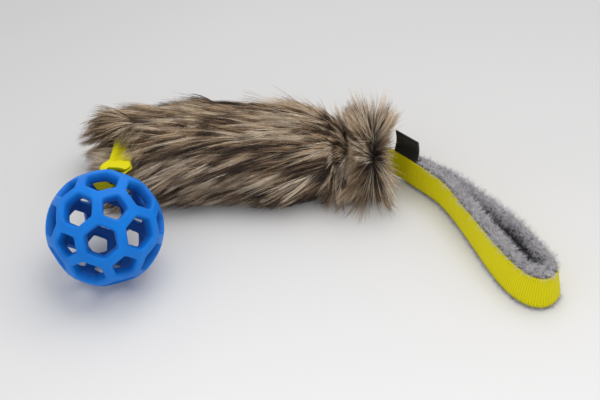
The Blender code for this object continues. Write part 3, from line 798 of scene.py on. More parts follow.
def stitchTree():
    # one stitch on every point, turned along the line that the points came from
    tree, given = startTree("stitchRow", {
        "Stitch": stitching["stitch"], "Yarn": stitching["yarn"], "Pitch": stitching["pitch"],
        "Material": None,
    })
    line = addNode(tree, "GeometryNodeMeshToCurve", {"Mesh": given["Geometry"]})[0]
    spots = addNode(tree, "GeometryNodeCurveToPoints", {
        "Curve": line, "Length": given["Pitch"],
    }, mode="LENGTH")
    bar = addNode(tree, "GeometryNodeMeshCylinder", {
        "Vertices": 6, "Side Segments": 4, "Radius": given["Yarn"], "Depth": given["Stitch"],
    }, fill_type="TRIANGLE_FAN")["Mesh"]
    place = positionOf(tree).parts()
    share = place["Z"] / (given["Stitch"] * 0.5)
    pinch = 1.0 - share ** 4.0 * stitching["pinch"]
    thin = {"X": place["X"] * pinch, "Y": place["Y"] * pinch, "Z": place["Z"]}
    bar = moved(tree, bar, Position=addNode(tree, "ShaderNodeCombineXYZ", thin)[0])
    turned = addNode(tree, "FunctionNodeAlignRotationToVector", {"Vector": spots["Tangent"]}, axis="Z")[0]
    placed = addNode(tree, "GeometryNodeInstanceOnPoints", {
        "Points": spots["Points"], "Instance": bar, "Rotation": turned,
    })[0]
    return endTree(tree, placed, given["Material"])


def stitchLine(length, stations, first, last, row):
    # points on the webbing's outer face between two lengths, with the row as a share of its half width
    offset = webbing["thickness"] / 2 - stitching["yarn"] * stitching["sunk"]
    points = []
    for _, at, point, side, up in stations:
        if first <= at <= last:
            height, middle = openingAt(min(at, length - at))
            spot = Vector((point.x, point.y, middle)) + up * (row * (height / 2 - stitching["fromBorder"]))
            points.append(spot - side * offset)
    return points


def makeStitches():
    length, stations = handLoopStations(stitching["stationStep"])
    runs = [(stitching["start"], length - stitching["end"], row) for row in (-1, 1)]
    for k in range(stitching["tackRows"]):
        row = 1 - 2 * (k + 0.5) / stitching["tackRows"]
        for first in (stitching["tackStart"], length - stitching["tackStart"] - stitching["tackLength"]):
            runs.append((first, first + stitching["tackLength"], row))
    points, edges = [], []
    for run in runs:
        line = stitchLine(length, stations, *run)
        edges += [(len(points) + k, len(points) + k + 1) for k in range(len(line) - 1)]
        points += line
    base = addObject("stitchLines", meshFrom("stitchLines", points, [], edges))
    piece = grown(base, stitchTree(), {"Material": yellowThread}, "handStitches")
    drop(base)
    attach(piece, "handle")


makeHandWebbing()
makeStitches()
print("hand loop webbing and its stitches made")


# ball webbing: out of the mouth, over the crease, round the strut and back

ballWebbing = dict(
    mouthWidth=17 * mm, neckWidth=18.5 * mm, strutWidth=15 * mm, flare=26 * mm,
    flareAfter=-0.1, neckUntil=0.02, turnFrom=0.18, wideFrom=0.33, wideUntil=0.36, narrowFrom=0.5,
    heldStrut=9.4 * mm, strutClearance=1.4 * mm, throat=6 * mm, throatAngle=52, bow=4 * mm,
    insideMouth=9 * mm, beforeCrease=1.5 * mm, strapThickness=5 * mm, creaseClearance=1.0 * mm,
    foldDepth=0.9 * mm, foldFull=0.3, deepUntil=0.1, foldLater=0.35, foldTurns=2.2, foldDrift=2.6,
    foldEdge=0.3,
    neckSteps=8, legPoints=12, throatPoints=5, bendSteps=20, smoothing=8,
    columns=19, stationStep=0.34 * mm, creaseBlend=2.5 * mm,
)


def turnedUp(way):
    return way if way.z > 0 else -way


def ballLoopStations():
    # the loop's middle line as the solids have it, as (point, place): 0 at the crease, 1 under the strut
    crease, strut, along = pivots["ball_lift"], pivots["ball_roll"], pivotAxes["ball_roll"].normalized()
    pull = crease - strut
    pull = (pull - along * pull.dot(along)).normalized()
    flank = turnedUp(along.cross(pull).normalized())
    turn = ballWebbing["heldStrut"] / 2 + ballWebbing["strutClearance"] + webbing["thickness"] / 2
    toward = (strut - crease).normalized()
    start = crease + toward * (ballWebbing["strapThickness"] / 2 + ballWebbing["creaseClearance"])
    up = turnedUp(Vector((1, 0, 0)).cross(toward).normalized())
    gap = ballWebbing["throat"]
    throat = strut + pull * (turn + gap)
    reach = (throat - start).length / 3
    opened = math.radians(ballWebbing["throatAngle"])
    half = layerPitch / 2
    legs = []
    for sign in (1, -1):
        leg = interpolate_bezier(
            start + up * (sign * half), start + up * (sign * half + ballWebbing["bow"]) + toward * reach,
            throat + flank * (sign * half) + pull * reach, throat + flank * (sign * half),
            ballWebbing["legPoints"],
        )
        rim = strut + (pull * math.cos(opened) + flank * (sign * math.sin(opened))) * turn
        away = pull * math.sin(opened) - flank * (sign * math.cos(opened))
        neck = interpolate_bezier(
            throat + flank * (sign * half), throat + flank * (sign * half) - pull * (gap / 2),
            rim + away * (gap / 2), rim, ballWebbing["throatPoints"],
        )
        legs.append([*leg, *neck[1:]])
    count = ballWebbing["bendSteps"]
    bend = []
    for k in range(1, count):
        angle = opened + (2 * math.pi - 2 * opened) * k / count
        bend.append(strut + (pull * math.cos(angle) + flank * math.sin(angle)) * turn)
    stations = [(point, k / len(legs[0]) / 2) for k, point in enumerate(legs[0])]
    stations += [(point, 0.5 + 0.5 * (1 - abs(2 * k / count - 1))) for k, point in enumerate(bend, 1)]
    stations += [(point, k / len(legs[1]) / 2) for k, point in reversed(list(enumerate(legs[1])))]
    return stations, along


def neckStations(sign):
    # one layer of the strap from inside the mouth to the crease, as (point, place): -1 at the mouth
    mouth, crease = pivots["ball_swing"], pivots["ball_lift"]
    run = crease - mouth
    way = run.normalized()
    up = turnedUp(way.cross(Vector((1, 0, 0))))
    inside, steps = ballWebbing["insideMouth"], ballWebbing["neckSteps"]
    reach = run.length + inside - ballWebbing["beforeCrease"]
    half = layerPitch / 2
    return [(mouth + way * (-inside + reach * k / steps) + up * (sign * half), k / steps - 1)
            for k in range(steps + 1)]


def placesAlong(stations, count):
    # the place of each of so many evenly spaced points, from the given stations nearest to it
    spots, total = [0.0], 0.0
    for (first, _), (second, _) in zip(stations, stations[1:]):
        total += (second - first).length
        spots.append(total)
    places, at = [], 0
    for k in range(count):
        reached = total * k / (count - 1)
        while at < len(spots) - 2 and spots[at + 1] < reached:
            at += 1
        share = min(max((reached - spots[at]) / (spots[at + 1] - spots[at]), 0.0), 1.0)
        low, high = stations[at][1], stations[at + 1][1]
        places.append(low + (high - low) * share)
    return places


def foldedRow(point, across, facing, width, place, later):
    # the strap's points across one station, in soft folds where it is drawn narrower than it is woven
    spare = max(1 - width / webbing["width"], 0.0)
    depth = ballWebbing["foldDepth"] * min(spare / ballWebbing["foldFull"], 1.0)
    depth *= 1.0 if place < ballWebbing["deepUntil"] else ballWebbing["foldLater"]
    row = []
    for i in range(ballWebbing["columns"]):
        a = 2 * i / (ballWebbing["columns"] - 1) - 1
        phase = ballWebbing["foldTurns"] * math.pi * a + ballWebbing["foldDrift"] * place
        fold = math.sin(-phase + math.pi if later else phase)
        edge = 1 - a * a * ballWebbing["foldEdge"]
        row.append(point + across * (a * width / 2) + facing * (depth * fold * edge))
    return row


def makeBallWebbing():
    stations, along = ballLoopStations()
    stations = [*neckStations(1), *stations, *reversed(neckStations(-1))]
    smooth, length = smoothPath([point for point, _ in stations], ballWebbing["smoothing"] * len(stations))
    count = round(length / ballWebbing["stationStep"])
    path, length = evenPath(smooth, count)
    widths = (
        (-1.0, ballWebbing["mouthWidth"]), (ballWebbing["neckUntil"], ballWebbing["neckWidth"]),
        (ballWebbing["wideFrom"], ballWebbing["flare"]), (ballWebbing["wideUntil"], ballWebbing["flare"]),
        (ballWebbing["narrowFrom"], ballWebbing["strutWidth"]),
    )
    turning = ballWebbing["narrowFrom"] - ballWebbing["turnFrom"]
    rows = []
    for k, (point, tangent, place) in enumerate(zip(path, tangentsOf(path), placesAlong(stations, count))):
        width = between(widths, place)
        turned = rise(place, ballWebbing["turnFrom"], turning)
        across = Vector((1, 0, 0)).lerp(along, turned).normalized()
        across = (across - tangent * across.dot(tangent)).normalized()
        # before it turns, the strap flares toward -X and its other border stays straight
        flared = max(width - ballWebbing["neckWidth"], 0) / 2 * (1 - turned)
        flared *= place > ballWebbing["flareAfter"]
        point = point - across * (flared if across.x > 0 else -flared)
        rows.append(foldedRow(point, across, tangent.cross(across), width, place, k >= count / 2))
    piece = wovenStrap("ballWebbing", rows, length)
    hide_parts("ball_strap", "ball_loop")
    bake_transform(piece)


makeBallWebbing()
coat(cadNodes["core_strap"].data, webbingCloth)
print("ball webbing made")


# fur: a simulated cloth skin, and strands combed over it

# a value whose name ends in Rise says where something starts and over how much it grows to its full

furSleeve = dict(
    inset=5.5 * mm, insetRise=(0.35, 0.4), endRise=(88 * mm, 12 * mm), endShare=0.7, voxel=4.5 * mm,
    puffCap=3.0 * mm, pressure=4.0, frames=20, slotReach=60 * mm, slotRounds=2, floorGap=0.8 * mm,
    lookTilt=0.35, lookFrom=0.4,
)
sleeveComb = dict(
    slotReach=45 * mm, slotRounds=3, openRise=(0.55, 0.3),
    underRise=(0.75, 0.2), underThinner=0.75, underFlatter=0.8,
    neckRise=(15 * mm, 26 * mm), neckUpRise=(28 * mm, 6 * mm), neckSideRise=(-1 * mm, 8 * mm),
    neckEnd=-76 * mm, neckShorter=0.72, neckWay=(0.75, -0.75, -0.35),
    mouthPile=0.55, mouthFrom=-88 * mm, mouthTo=-66 * mm,
    fanRise=(92 * mm, 8 * mm), fanShortRise=(84 * mm, 8 * mm), fanWide=44 * mm, fanHigh=30 * mm,
    fanLeast=6 * mm, fanMost=28 * mm, fanPile=32 * mm, fanFlow=0.3, fanBack=(-0.45, 0, 0),
    tuftPlace=(-2 * mm, 34 * mm), tuftSize=(9 * mm, 8 * mm), tuftLift=0.6, tuftWay=(0, 0.22, 0.5),
    lowerRise=(60 * mm, 30 * mm), lowerBy=0.35, farFlatter=0.45, nearFlatter=0.7,
    wrapRise=(55 * mm, 45 * mm), wrapAside=0.34, wrapDown=0.25, sag=0.10, sagNear=0.02,
    sagSides=0.16, flowScale=20, flow=0.24,
)


def copyOfNode(node, name):
    mesh = cadNodes[node].data.copy()
    mesh.name = name
    bm = bmesh.new()
    bm.from_mesh(mesh)
    bmesh.ops.remove_doubles(bm, verts=bm.verts, dist=0.01 * mm)
    bm.to_mesh(mesh)
    bm.free()
    return addObject(name, mesh)


def remeshed(piece, voxel):
    remesh = piece.modifiers.new("even", "REMESH")
    remesh.mode = "VOXEL"
    remesh.voxel_size = voxel
    return settle(piece)


def openness(piece, reach):
    # 1 where nothing of the piece itself stands in front of a point, 0 inside a slot
    points = [vertex.co.copy() for vertex in piece.data.vertices]
    tree = BVHTree.FromPolygons(points, [tuple(face.vertices) for face in piece.data.polygons])
    tilts = [Vector((0, 0, 0))]
    for axis in range(3):
        for sign in (1, -1):
            tilts.append(Vector([sign * furSleeve["lookTilt"] * (axis == other) for other in range(3)]))
    shares = []
    for vertex in piece.data.vertices:
        start = vertex.co + vertex.normal * furSleeve["lookFrom"] * mm
        hits = [tree.ray_cast(start, (vertex.normal + tilt).normalized(), reach)[0] for tilt in tilts]
        shares.append(1 - sum(hit is not None for hit in hits) / len(tilts))
    return shares


def evened(mesh, values, rounds):
    # each value drawn toward its neighbours'
    near = [[] for _ in mesh.vertices]
    for edge in mesh.edges:
        a, b = edge.vertices
        near[a].append(b)
        near[b].append(a)
    for _ in range(rounds):
        values = [
            (value + sum(values[j] for j in near[i])) / (1 + len(near[i])) for i, value in enumerate(values)
        ]
    return values


def puffed(piece, pressure, cap, frames):
    # the skin blown up a little by its filling, then held within a cap
    before = [vertex.co.copy() for vertex in piece.data.vertices]
    cloth = piece.modifiers.new("puff", "CLOTH")
    cloth.settings.use_pressure = True
    cloth.settings.uniform_pressure_force = pressure
    cloth.settings.effector_weights.gravity = 0.0
    cloth.settings.quality = 5
    cloth.point_cache.frame_start = 1
    cloth.point_cache.frame_end = frames
    for instant in range(1, frames + 1):
        bpy.context.scene.frame_set(instant)
    after = finished(piece)
    piece.modifiers.clear()
    for vertex, start, swollen in zip(piece.data.vertices, before, after.vertices):
        step = swollen.co - start
        if step.length > cap:
            step *= cap / step.length
        vertex.co = start + step
    bpy.context.scene.frame_set(1)


def makeFurSkin():
    skin = remeshed(copyOfNode("fur_sleeve", "furSkin"), furSleeve["voxel"])
    free = evened(skin.data, openness(skin, furSleeve["slotReach"]), furSleeve["slotRounds"])
    for vertex, share in zip(skin.data.vertices, free):
        ending = rise(vertex.co.x, *furSleeve["endRise"])
        inset = furSleeve["inset"] * rise(share, *furSleeve["insetRise"])
        vertex.co -= vertex.normal * (inset * (1 - furSleeve["endShare"] * ending))
    puffed(skin, furSleeve["pressure"], furSleeve["puffCap"], furSleeve["frames"])
    for vertex in skin.data.vertices:
        vertex.co.z = max(vertex.co.z, furSleeve["floorGap"])
    fine = skin.modifiers.new("fine", "SUBSURF")
    fine.levels = fine.render_levels = 1
    settle(skin)
    coat(skin.data, furBacking)
    skin.data.shade_smooth()
    return skin


def fromNeck(point):
    # how far a point lies, seen from above, from the webbing between the mouth and the ball
    spots = [pivots["ball_swing"], pivots["ball_lift"], pivots["ball_roll"]]
    least = 1.0
    for first, second in zip(spots, spots[1:]):
        run, step = (second - first).to_2d(), (point - first).to_2d()
        share = min(max(step.dot(run) / run.length_squared, 0), 1)
        least = min(least, (step - run * share).length)
    return least


def fromGather(point):
    # the way from the gather's axis out to a point
    return Vector((0, point.y - gatherPlace.y, point.z - gatherPlace.z))


def setComb(mesh, rows):
    # each vertex's (pile, length, lift, way): where hair grows, how long, how far off and which way
    pile, lengths, lifts, ways = zip(*rows)
    setAttribute(mesh, "pile", pile)
    setAttribute(mesh, "pileLength", lengths)
    setAttribute(mesh, "pileLift", lifts)
    setAttribute(mesh, "combing", ways, "FLOAT_VECTOR")


def fannedLength(out):
    # past its shoulder the sleeve's pile fans out round the gather, no further than the sleeve is wide
    comb, radial = sleeveComb, out.normalized()
    outline = 1 / math.hypot(radial.y / comb["fanWide"], radial.z / comb["fanHigh"])
    room = max(outline - out.length, 0) + comb["fanLeast"]
    return min(room, comb["fanMost"]) / comb["fanPile"]


def combAt(vertex, share, side):
    # the side is -1 at the sleeve's border toward the ball and the hand loop, and 1 at the other one
    comb = sleeveComb
    x, y, z = vertex.co
    far, near = max(side, 0), max(-side, 0)
    under = rise(-vertex.normal.z, *comb["underRise"])
    nearNeck = 1 - rise(fromNeck(vertex.co), *comb["neckRise"])
    nearNeck *= rise(z, *comb["neckUpRise"])
    nearNeck *= rise(-y, *comb["neckSideRise"])
    pile = rise(share, *comb["openRise"]) * (1 - comb["underThinner"] * under)
    pile *= 1 - nearNeck * (x < comb["neckEnd"])

    mouth = 1 - rise(x, comb["mouthFrom"], comb["mouthTo"] - comb["mouthFrom"])
    out = fromGather(vertex.co)
    length = (1 - (1 - comb["mouthPile"]) * mouth) * (1 - comb["neckShorter"] * nearNeck)
    length += (fannedLength(out) - length) * rise(x, *comb["fanShortRise"])

    aside = [(at - middle) / size for at, middle, size in zip((x, y), comb["tuftPlace"], comb["tuftSize"])]
    tuft = math.exp(-(aside[0] ** 2) - aside[1] ** 2)
    nearing = rise(x, *comb["lowerRise"])
    lift = (1.0 + comb["tuftLift"] * tuft - comb["underFlatter"] * under) * (1 - comb["lowerBy"] * nearing)
    lift *= 1 - comb["farFlatter"] * far - comb["nearFlatter"] * near

    flow = noise.noise_vector(vertex.co * comb["flowScale"])
    wrapped = rise(-x, *comb["wrapRise"])
    way = Vector((-1, 0, 0))
    way += Vector((0, -comb["sag"] - comb["wrapAside"] * wrapped * far,
                   -comb["sag"] - comb["wrapDown"] * wrapped * far))
    way += Vector((0, -comb["sagNear"] * near, -comb["sagSides"] * abs(side)))
    way += flow * comb["flow"] + Vector(comb["tuftWay"]) * tuft
    way += Vector(comb["neckWay"]) * nearNeck * (x > comb["neckEnd"])
    fanned = out.normalized() + flow * comb["fanFlow"] + Vector(comb["fanBack"])
    way = way.lerp(fanned, rise(x, *comb["fanRise"]))
    return pile, length, lift, way.normalized()


def combSleeve(skin):
    free = evened(skin.data, openness(skin, sleeveComb["slotReach"]), sleeveComb["slotRounds"])
    low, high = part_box("fur_sleeve")
    middleY, halfWide = (low.y + high.y) / 2, (high.y - low.y) / 2
    setComb(skin.data, [
        combAt(vertex, share, (vertex.co.y - middleY) / halfWide)
        for vertex, share in zip(skin.data.vertices, free)
    ])


# strands, of fur and of fleece

def startStrands(tree, given, stations):
    # a curve of a few points for each root on the cloth; they keep the root's place and normal
    roots = addNode(tree, "GeometryNodeDistributePointsOnFaces", {
        "Mesh": given["Geometry"], "Density": given["Density"] * recall(tree, "pile"),
        "Seed": given["Seed"],
    }, distribute_method="RANDOM")
    index = addNode(tree, "GeometryNodeInputIndex")[0]
    geometry = keep(tree, roots["Points"], "rootNormal", roots["Normal"], "FLOAT_VECTOR")
    geometry = keep(tree, geometry, "rootPlace", positionOf(tree), "FLOAT_VECTOR")
    geometry = keep(tree, geometry, "strand", index, "INT")
    copies = addNode(tree, "GeometryNodeDuplicateElements", {
        "Geometry": geometry, "Amount": stations,
    }, domain="POINT")
    share = copies["Duplicate Index"] / float(stations - 1)
    geometry = keep(tree, copies["Geometry"], "along", share)
    return addNode(tree, "GeometryNodePointsToCurves", {
        "Points": geometry, "Curve Group ID": recall(tree, "strand", "INT"),
        "Weight": recall(tree, "along"),
    })[0]


def endStrands(tree, curves, spot, lowest, radius, material):
    # the curves' points in their spots but not below the floor, with three sides round them
    parts = spot.parts()
    height = parts["Z"].number("MAXIMUM", lowest)
    place = addNode(tree, "ShaderNodeCombineXYZ", {"X": parts["X"], "Y": parts["Y"], "Z": height})[0]
    section = addNode(tree, "GeometryNodeCurvePrimitiveCircle", {"Resolution": 3, "Radius": 1.0})[0]
    strands = addNode(tree, "GeometryNodeCurveToMesh", {
        "Curve": moved(tree, curves, Position=place), "Profile Curve": section, "Scale": radius,
        "Fill Caps": True,
    })[0]
    return endTree(tree, strands, material)


def cellsOf(tree, place, size):
    feeds = {"Vector": place, "Scale": 1.0 / size, "Randomness": 1.0}
    return addNode(tree, "ShaderNodeTexVoronoi", feeds)


def chanceOf(tree, seed):
    # an arrow for each strand, with every part from -1 to 1
    return addNode(tree, "FunctionNodeRandomValue", {
        "Min": (-1.0, -1.0, -1.0), "Max": (1.0, 1.0, 1.0), "ID": recall(tree, "strand", "INT"),
        "Seed": seed,
    }, data_type="FLOAT_VECTOR")[0]


combed = dict(
    stations=5, ownLength=0.14, liftLeast=0.45, liftByLock=0.9, liftShort=0.4, liftByLength=0.6,
    pullPower=0.8, waveTurn=5.0, waveSpread=6.28, taperPower=1.6, palerFrom=20 * mm, palerTo=80 * mm,
    palerBy=0.12, patchTone=3.4, lockTone=0.75, ownTone=0.24, tipMiddle=0.45, tipByLock=3.0, ownTip=0.3,
)


def combedPileTree():
    # tapered strands that leave the skin along its comb, run together into pointed locks and droop
    tree, given = startTree("combedPile", {
        "Density": 100000.0, "Seed": 1, "Length": 26 * mm, "Length Spread": 0.3, "Lift": 9 * mm,
        "Swing": 0.34, "Lock Size": 6 * mm, "Lock Pull": 0.75, "Wave": 0.9 * mm, "Fray": 1.6 * mm,
        "Droop": 3 * mm, "Root Width": 0.2 * mm, "Tip Width": 0.04 * mm, "Floor": 0.5 * mm,
        "Patch": (18.0, 95.0, 95.0), "Tone Middle": 0.5, "Material": None,
    })
    curves = startStrands(tree, given, combed["stations"])
    root = recall(tree, "rootPlace", "FLOAT_VECTOR")
    normal = recall(tree, "rootNormal", "FLOAT_VECTOR")
    comb = recall(tree, "combing", "FLOAT_VECTOR")
    pileLength = recall(tree, "pileLength")
    t = recall(tree, "along")
    lock = cellsOf(tree, root, given["Lock Size"])
    chance = lock["Color"].parts()
    own = chanceOf(tree, given["Seed"])
    ownParts = own.parts()

    into = comb.arrow("DOT_PRODUCT", normal).number("MINIMUM", 0.0)
    lying = (comb - normal * into).arrow("NORMALIZE")
    sideways = normal.arrow("CROSS_PRODUCT", lying).arrow("NORMALIZE")
    swing = (chance["X"] - 0.5) * given["Swing"]
    way = (lying + sideways * swing).arrow("NORMALIZE")

    spread = (chance["Y"] - 0.5) * (given["Length Spread"] * 2.0) + 1.0
    spread = spread * (ownParts["X"] * combed["ownLength"] + 1.0)
    reach = given["Length"] * spread * pileLength * t
    rest = 1.0 - t
    rise = 1.0 - rest * rest
    lift = given["Lift"] * (chance["Z"] * combed["liftByLock"] + combed["liftLeast"])
    lift = lift * (recall(tree, "pileLift") * rise)
    lift = lift * (pileLength * combed["liftByLength"] + combed["liftShort"])
    tSquared = t * t

    toLock = lock["Position"] - root
    alongPart = way * toLock.arrow("DOT_PRODUCT", way)
    outPart = normal * toLock.arrow("DOT_PRODUCT", normal)
    toLock = toLock - alongPart - outPart
    pull = given["Lock Pull"] * t ** combed["pullPower"]
    phase = t * combed["waveTurn"] + chance["X"] * combed["waveSpread"]
    wave = phase.number("SINE") * t * given["Wave"]
    fray = own * (given["Fray"] * tSquared)
    fall = addNode(tree, "ShaderNodeCombineXYZ", {"Z": given["Droop"] * tSquared * -1.0})[0]
    spot = root + way * reach + normal * lift + toLock * pull + sideways * wave + fray + fall

    # the strand's tone: long patches over the cloth, paler toward the handle, then its lock and itself
    paler = root.parts()["X"].ranged(combed["palerFrom"], combed["palerTo"], 0.0, combed["palerBy"])
    patch = noiseOf(tree, root * given["Patch"], 1.0, 2.0, 0.6)
    tone = (patch - 0.5) * combed["patchTone"] + given["Tone Middle"] + paler
    tone = tone + (chance["Y"] - 0.5) * combed["lockTone"]
    tone = tone.number("ADD", ownParts["Y"] * combed["ownTone"], use_clamp=True)
    tips = (chance["Z"] - combed["tipMiddle"]) * combed["tipByLock"]
    tips = tips.number("ADD", ownParts["Z"] * combed["ownTip"], use_clamp=True)
    curves = keep(tree, keep(tree, curves, "tone", tone), "tipTone", tips)
    radius = (1.0 - t ** combed["taperPower"]) * given["Root Width"] + given["Tip Width"]
    return endStrands(tree, curves, spot, given["Floor"], radius, given["Material"])


combedPile = combedPileTree()

sleevePiles = {
    "furUnderA": dict(Seed=11, Length=22 * mm, Lift=3.5 * mm, Tone_Middle=0.36, Root_Width=0.3 * mm),
    "furUnderB": dict(Seed=12, Length=25 * mm, Lift=4.5 * mm, Tone_Middle=0.42, Root_Width=0.28 * mm),
    "furTopA": dict(Seed=21, Length=30 * mm, Lift=5.5 * mm, Tone_Middle=0.5),
    "furTopB": dict(Seed=22, Length=32 * mm, Lift=6.5 * mm, Tone_Middle=0.54),
    "furTopC": dict(Seed=23, Length=34 * mm, Lift=7.5 * mm, Tone_Middle=0.54),
    "furGuardHair": dict(Seed=31, Length=36 * mm, Lift=7.8 * mm, Tone_Middle=0.3, Root_Width=0.15 * mm,
                         Lock_Pull=0.5, Fray=2 * mm),
}
sleeveDensity = dict(pile=185000.0, guard=40000.0)


def pileOn(skin, name, sizes, material, body):
    values = {key.replace("_", " "): value for key, value in sizes.items()}
    values["Material"] = material
    piece = grown(skin, combedPile, values, name)
    print("  ", name, len(piece.data.polygons), "faces")
    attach(piece, body)


def makeFurSleeve():
    skin = makeFurSkin()
    combSleeve(skin)
    for name, sizes in sleevePiles.items():
        guard = "Guard" in name
        density = sleeveDensity["guard" if guard else "pile"]
        pileOn(skin, name, dict(sizes, Density=density), furGuard if guard else furPile, "tail")
    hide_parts("fur_sleeve")
    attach(skin, "tail")


makeFurSleeve()
print("fur sleeve made")


# ruff: the sleeve's free end past the gather, with its pile fanned out all round

ruff = dict(
    reach=0.52, shorter=0.55, coreRise=(9 * mm, 14 * mm), voxel=2.5 * mm, pressure=3.0,
    puffCap=1.0 * mm, frames=12, bare=3, bareInFront=5, bareFade=5 * mm, frontSlope=1.6,
    strapUpRise=(-0.35, 0.5), strapSideRise=(-0.3, 0.5), strapThinner=0.35, lengthMiddle=0.96,
    lengthSpread=0.34, lengthScale=40, farRise=(0.2, 1.0), farShorter=0.2, frontFlatter=0.3,
    leanBack=0.8, leanFront=0.45, leanUp=0.1, flowScale=60, flow=0.4,
)
ruffPatch = (70.0, 70.0, 70.0)
ruffPiles = {
    "ruffPileA": dict(
        Density=1700000.0, Seed=41, Length=23 * mm, Lift=4 * mm, Tone_Middle=0.24, Lock_Size=6 * mm,
        Lock_Pull=0.8, Swing=0.8, Root_Width=0.26 * mm, Droop=1.5 * mm, Patch=ruffPatch, Fray=1.4 * mm,
        Length_Spread=0.35,
    ),
    "ruffPileB": dict(
        Density=2300000.0, Seed=42, Length=31 * mm, Lift=6 * mm, Tone_Middle=0.5, Lock_Size=7.5 * mm,
        Lock_Pull=0.95, Swing=1.1, Root_Width=0.2 * mm, Droop=2 * mm, Patch=ruffPatch, Fray=1.6 * mm,
        Length_Spread=0.45,
    ),
    "ruffGuardHair": dict(
        Density=110000.0, Seed=43, Length=35 * mm, Lift=6 * mm, Tone_Middle=0.2, Lock_Size=4 * mm,
        Lock_Pull=0.3, Swing=1.2, Root_Width=0.15 * mm, Droop=2 * mm, Fray=3 * mm, Length_Spread=0.2,
    ),
}


def makeRuffSkin():
    skin = copyOfNode("fur_ruff", "furRuffSkin")
    for vertex in skin.data.vertices:
        out = fromGather(vertex.co)
        share = rise(out.length, *ruff["coreRise"])
        x = gatherPlace.x + (vertex.co.x - gatherPlace.x) * (1 - ruff["shorter"] * share)
        middle = Vector((x, gatherPlace.y, gatherPlace.z))
        vertex.co = middle + out * (1 - (1 - ruff["reach"]) * share)
    remeshed(skin, ruff["voxel"])
    puffed(skin, ruff["pressure"], ruff["puffCap"], ruff["frames"])
    coat(skin.data, furBacking)
    return skin


def ruffCombAt(vertex):
    # thin over the webbing, long and leaning outward everywhere else
    out, lean = fromGather(vertex.co), vertex.normal.x
    radial, front = out.normalized(), ease(lean * ruff["frontSlope"])
    flow = noise.noise_vector(vertex.co * ruff["flowScale"])
    overStrap = front * rise(-radial.z, *ruff["strapUpRise"]) * rise(-radial.y, *ruff["strapSideRise"])
    bare = (ruff["bare"] + ruff["bareInFront"] * front) * mm
    pile = rise(out.length, bare, ruff["bareFade"]) * (1 - ruff["strapThinner"] * overStrap)
    length = ruff["lengthMiddle"] + ruff["lengthSpread"] * noise.noise(vertex.co * ruff["lengthScale"])
    length *= 1 - ruff["farShorter"] * rise(radial.y, *ruff["farRise"])
    lift = 1 - ruff["frontFlatter"] * front
    leaning = ruff["leanBack" if lean < 0 else "leanFront"] * lean
    way = radial + Vector((leaning, 0, ruff["leanUp"])) + flow * ruff["flow"]
    return pile, length, lift, way.normalized()


def makeRuff():
    skin = makeRuffSkin()
    setComb(skin.data, [ruffCombAt(vertex) for vertex in skin.data.vertices])
    for name, sizes in ruffPiles.items():
        pileOn(skin, name, sizes, furFan, "handle")
    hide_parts("fur_ruff")
    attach(skin, "handle")


makeRuff()
print("ruff made")


# gather binding: thread wound round a small core

binding = dict(
    radius=5.6 * mm, halfLength=4.4 * mm, thread=0.45 * mm, turns=9, turnSteps=20, endDip=0.6 * mm,
    threadSides=6, threadFullness=1.3, coreRings=9, coreSides=18, coreLonger=1.1,
)


def angles(sides):
    return [2 * math.pi / sides * i for i in range(sides)]


def makeBinding():
    centre = middleOf("gather_binding")
    wound = binding["radius"] - binding["thread"]
    steps = binding["turns"] * binding["turnSteps"]
    route = []
    for k in range(steps + 1):
        share = k / steps
        angle = 2 * math.pi * binding["turns"] * share
        x = binding["halfLength"] * (2 * share - 1)
        radius = wound - binding["endDip"] * (2 * share - 1) ** 2
        route.append(centre + Vector((x, radius * math.cos(angle), radius * math.sin(angle))))
    threadRings = []
    for point, tangent in zip(route, tangentsOf(route)):
        side = (point - centre - Vector((point.x - centre.x, 0, 0))).normalized()
        across = tangent.cross(side)
        arms = [side * math.cos(a) + across * math.sin(a) for a in angles(binding["threadSides"])]
        threadRings.append([point + arm * binding["thread"] * binding["threadFullness"] for arm in arms])
    coreRings = []
    for k in range(binding["coreRings"]):
        angle = math.pi * (k + 0.5) / binding["coreRings"]
        radius = wound * math.sin(angle) ** 0.5
        x = -binding["halfLength"] * binding["coreLonger"] * math.cos(angle)
        coreRings.append([centre + Vector((x, radius * math.cos(a), radius * math.sin(a)))
                          for a in angles(binding["coreSides"])])
    winding = addObject("gatherThread", loft("gatherThread", threadRings), darkThread)
    bead = addObject("gatherCore", loft("gatherCore", coreRings), darkThread)
    for piece in (winding, bead):
        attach(piece, "gather")
    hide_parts("gather_binding")


makeBinding()
print("gather binding made")


# fleece lining with a curly pile

fleece = dict(
    thickness=7.4 * mm, width=30 * mm, gap=0.4 * mm, faceGap=1 * mm, start=48 * mm, end=34 * mm,
    stationStep=1.6 * mm, ringPoints=28, squareness=0.6, borderInset=0.6 * mm, overhang=2.6 * mm,
    overRise=(0.9, 0.1), lumpSize=4 * mm, lumpHeight=1.2 * mm, lumpDetail=2.3, smallLumps=0.5,
    lumpBehind=0.2, behind=-0.6, bareBehind=-0.8, borderFrom=0.9, rimRise=(0.45, 0.4),
    lengthRise=(0.4, 0.5), middleLength=0.5, thinFullness=0.2, floorGap=0.3 * mm,
    density=640000.0, tuft=2.4 * mm, ownLean=0.4, tuftSplay=1.3, ownTone=0.5, curlTurn=4.2, taper=0.7,
    strandStations=4, strandFloor=0.2 * mm,
)
fleeceCoats = {
    "fleeceCurlsA": dict(Seed=51, Length=4.2 * mm, Curl=0.9 * mm),
    "fleeceCurlsB": dict(Seed=52, Length=6 * mm, Curl=0.7 * mm),
}


def roomAcross(path, k):
    apart = len(path) // 4
    others = [point for j, point in enumerate(path) if abs(j - k) > apart]
    return min((point - path[k]).length for point in others)


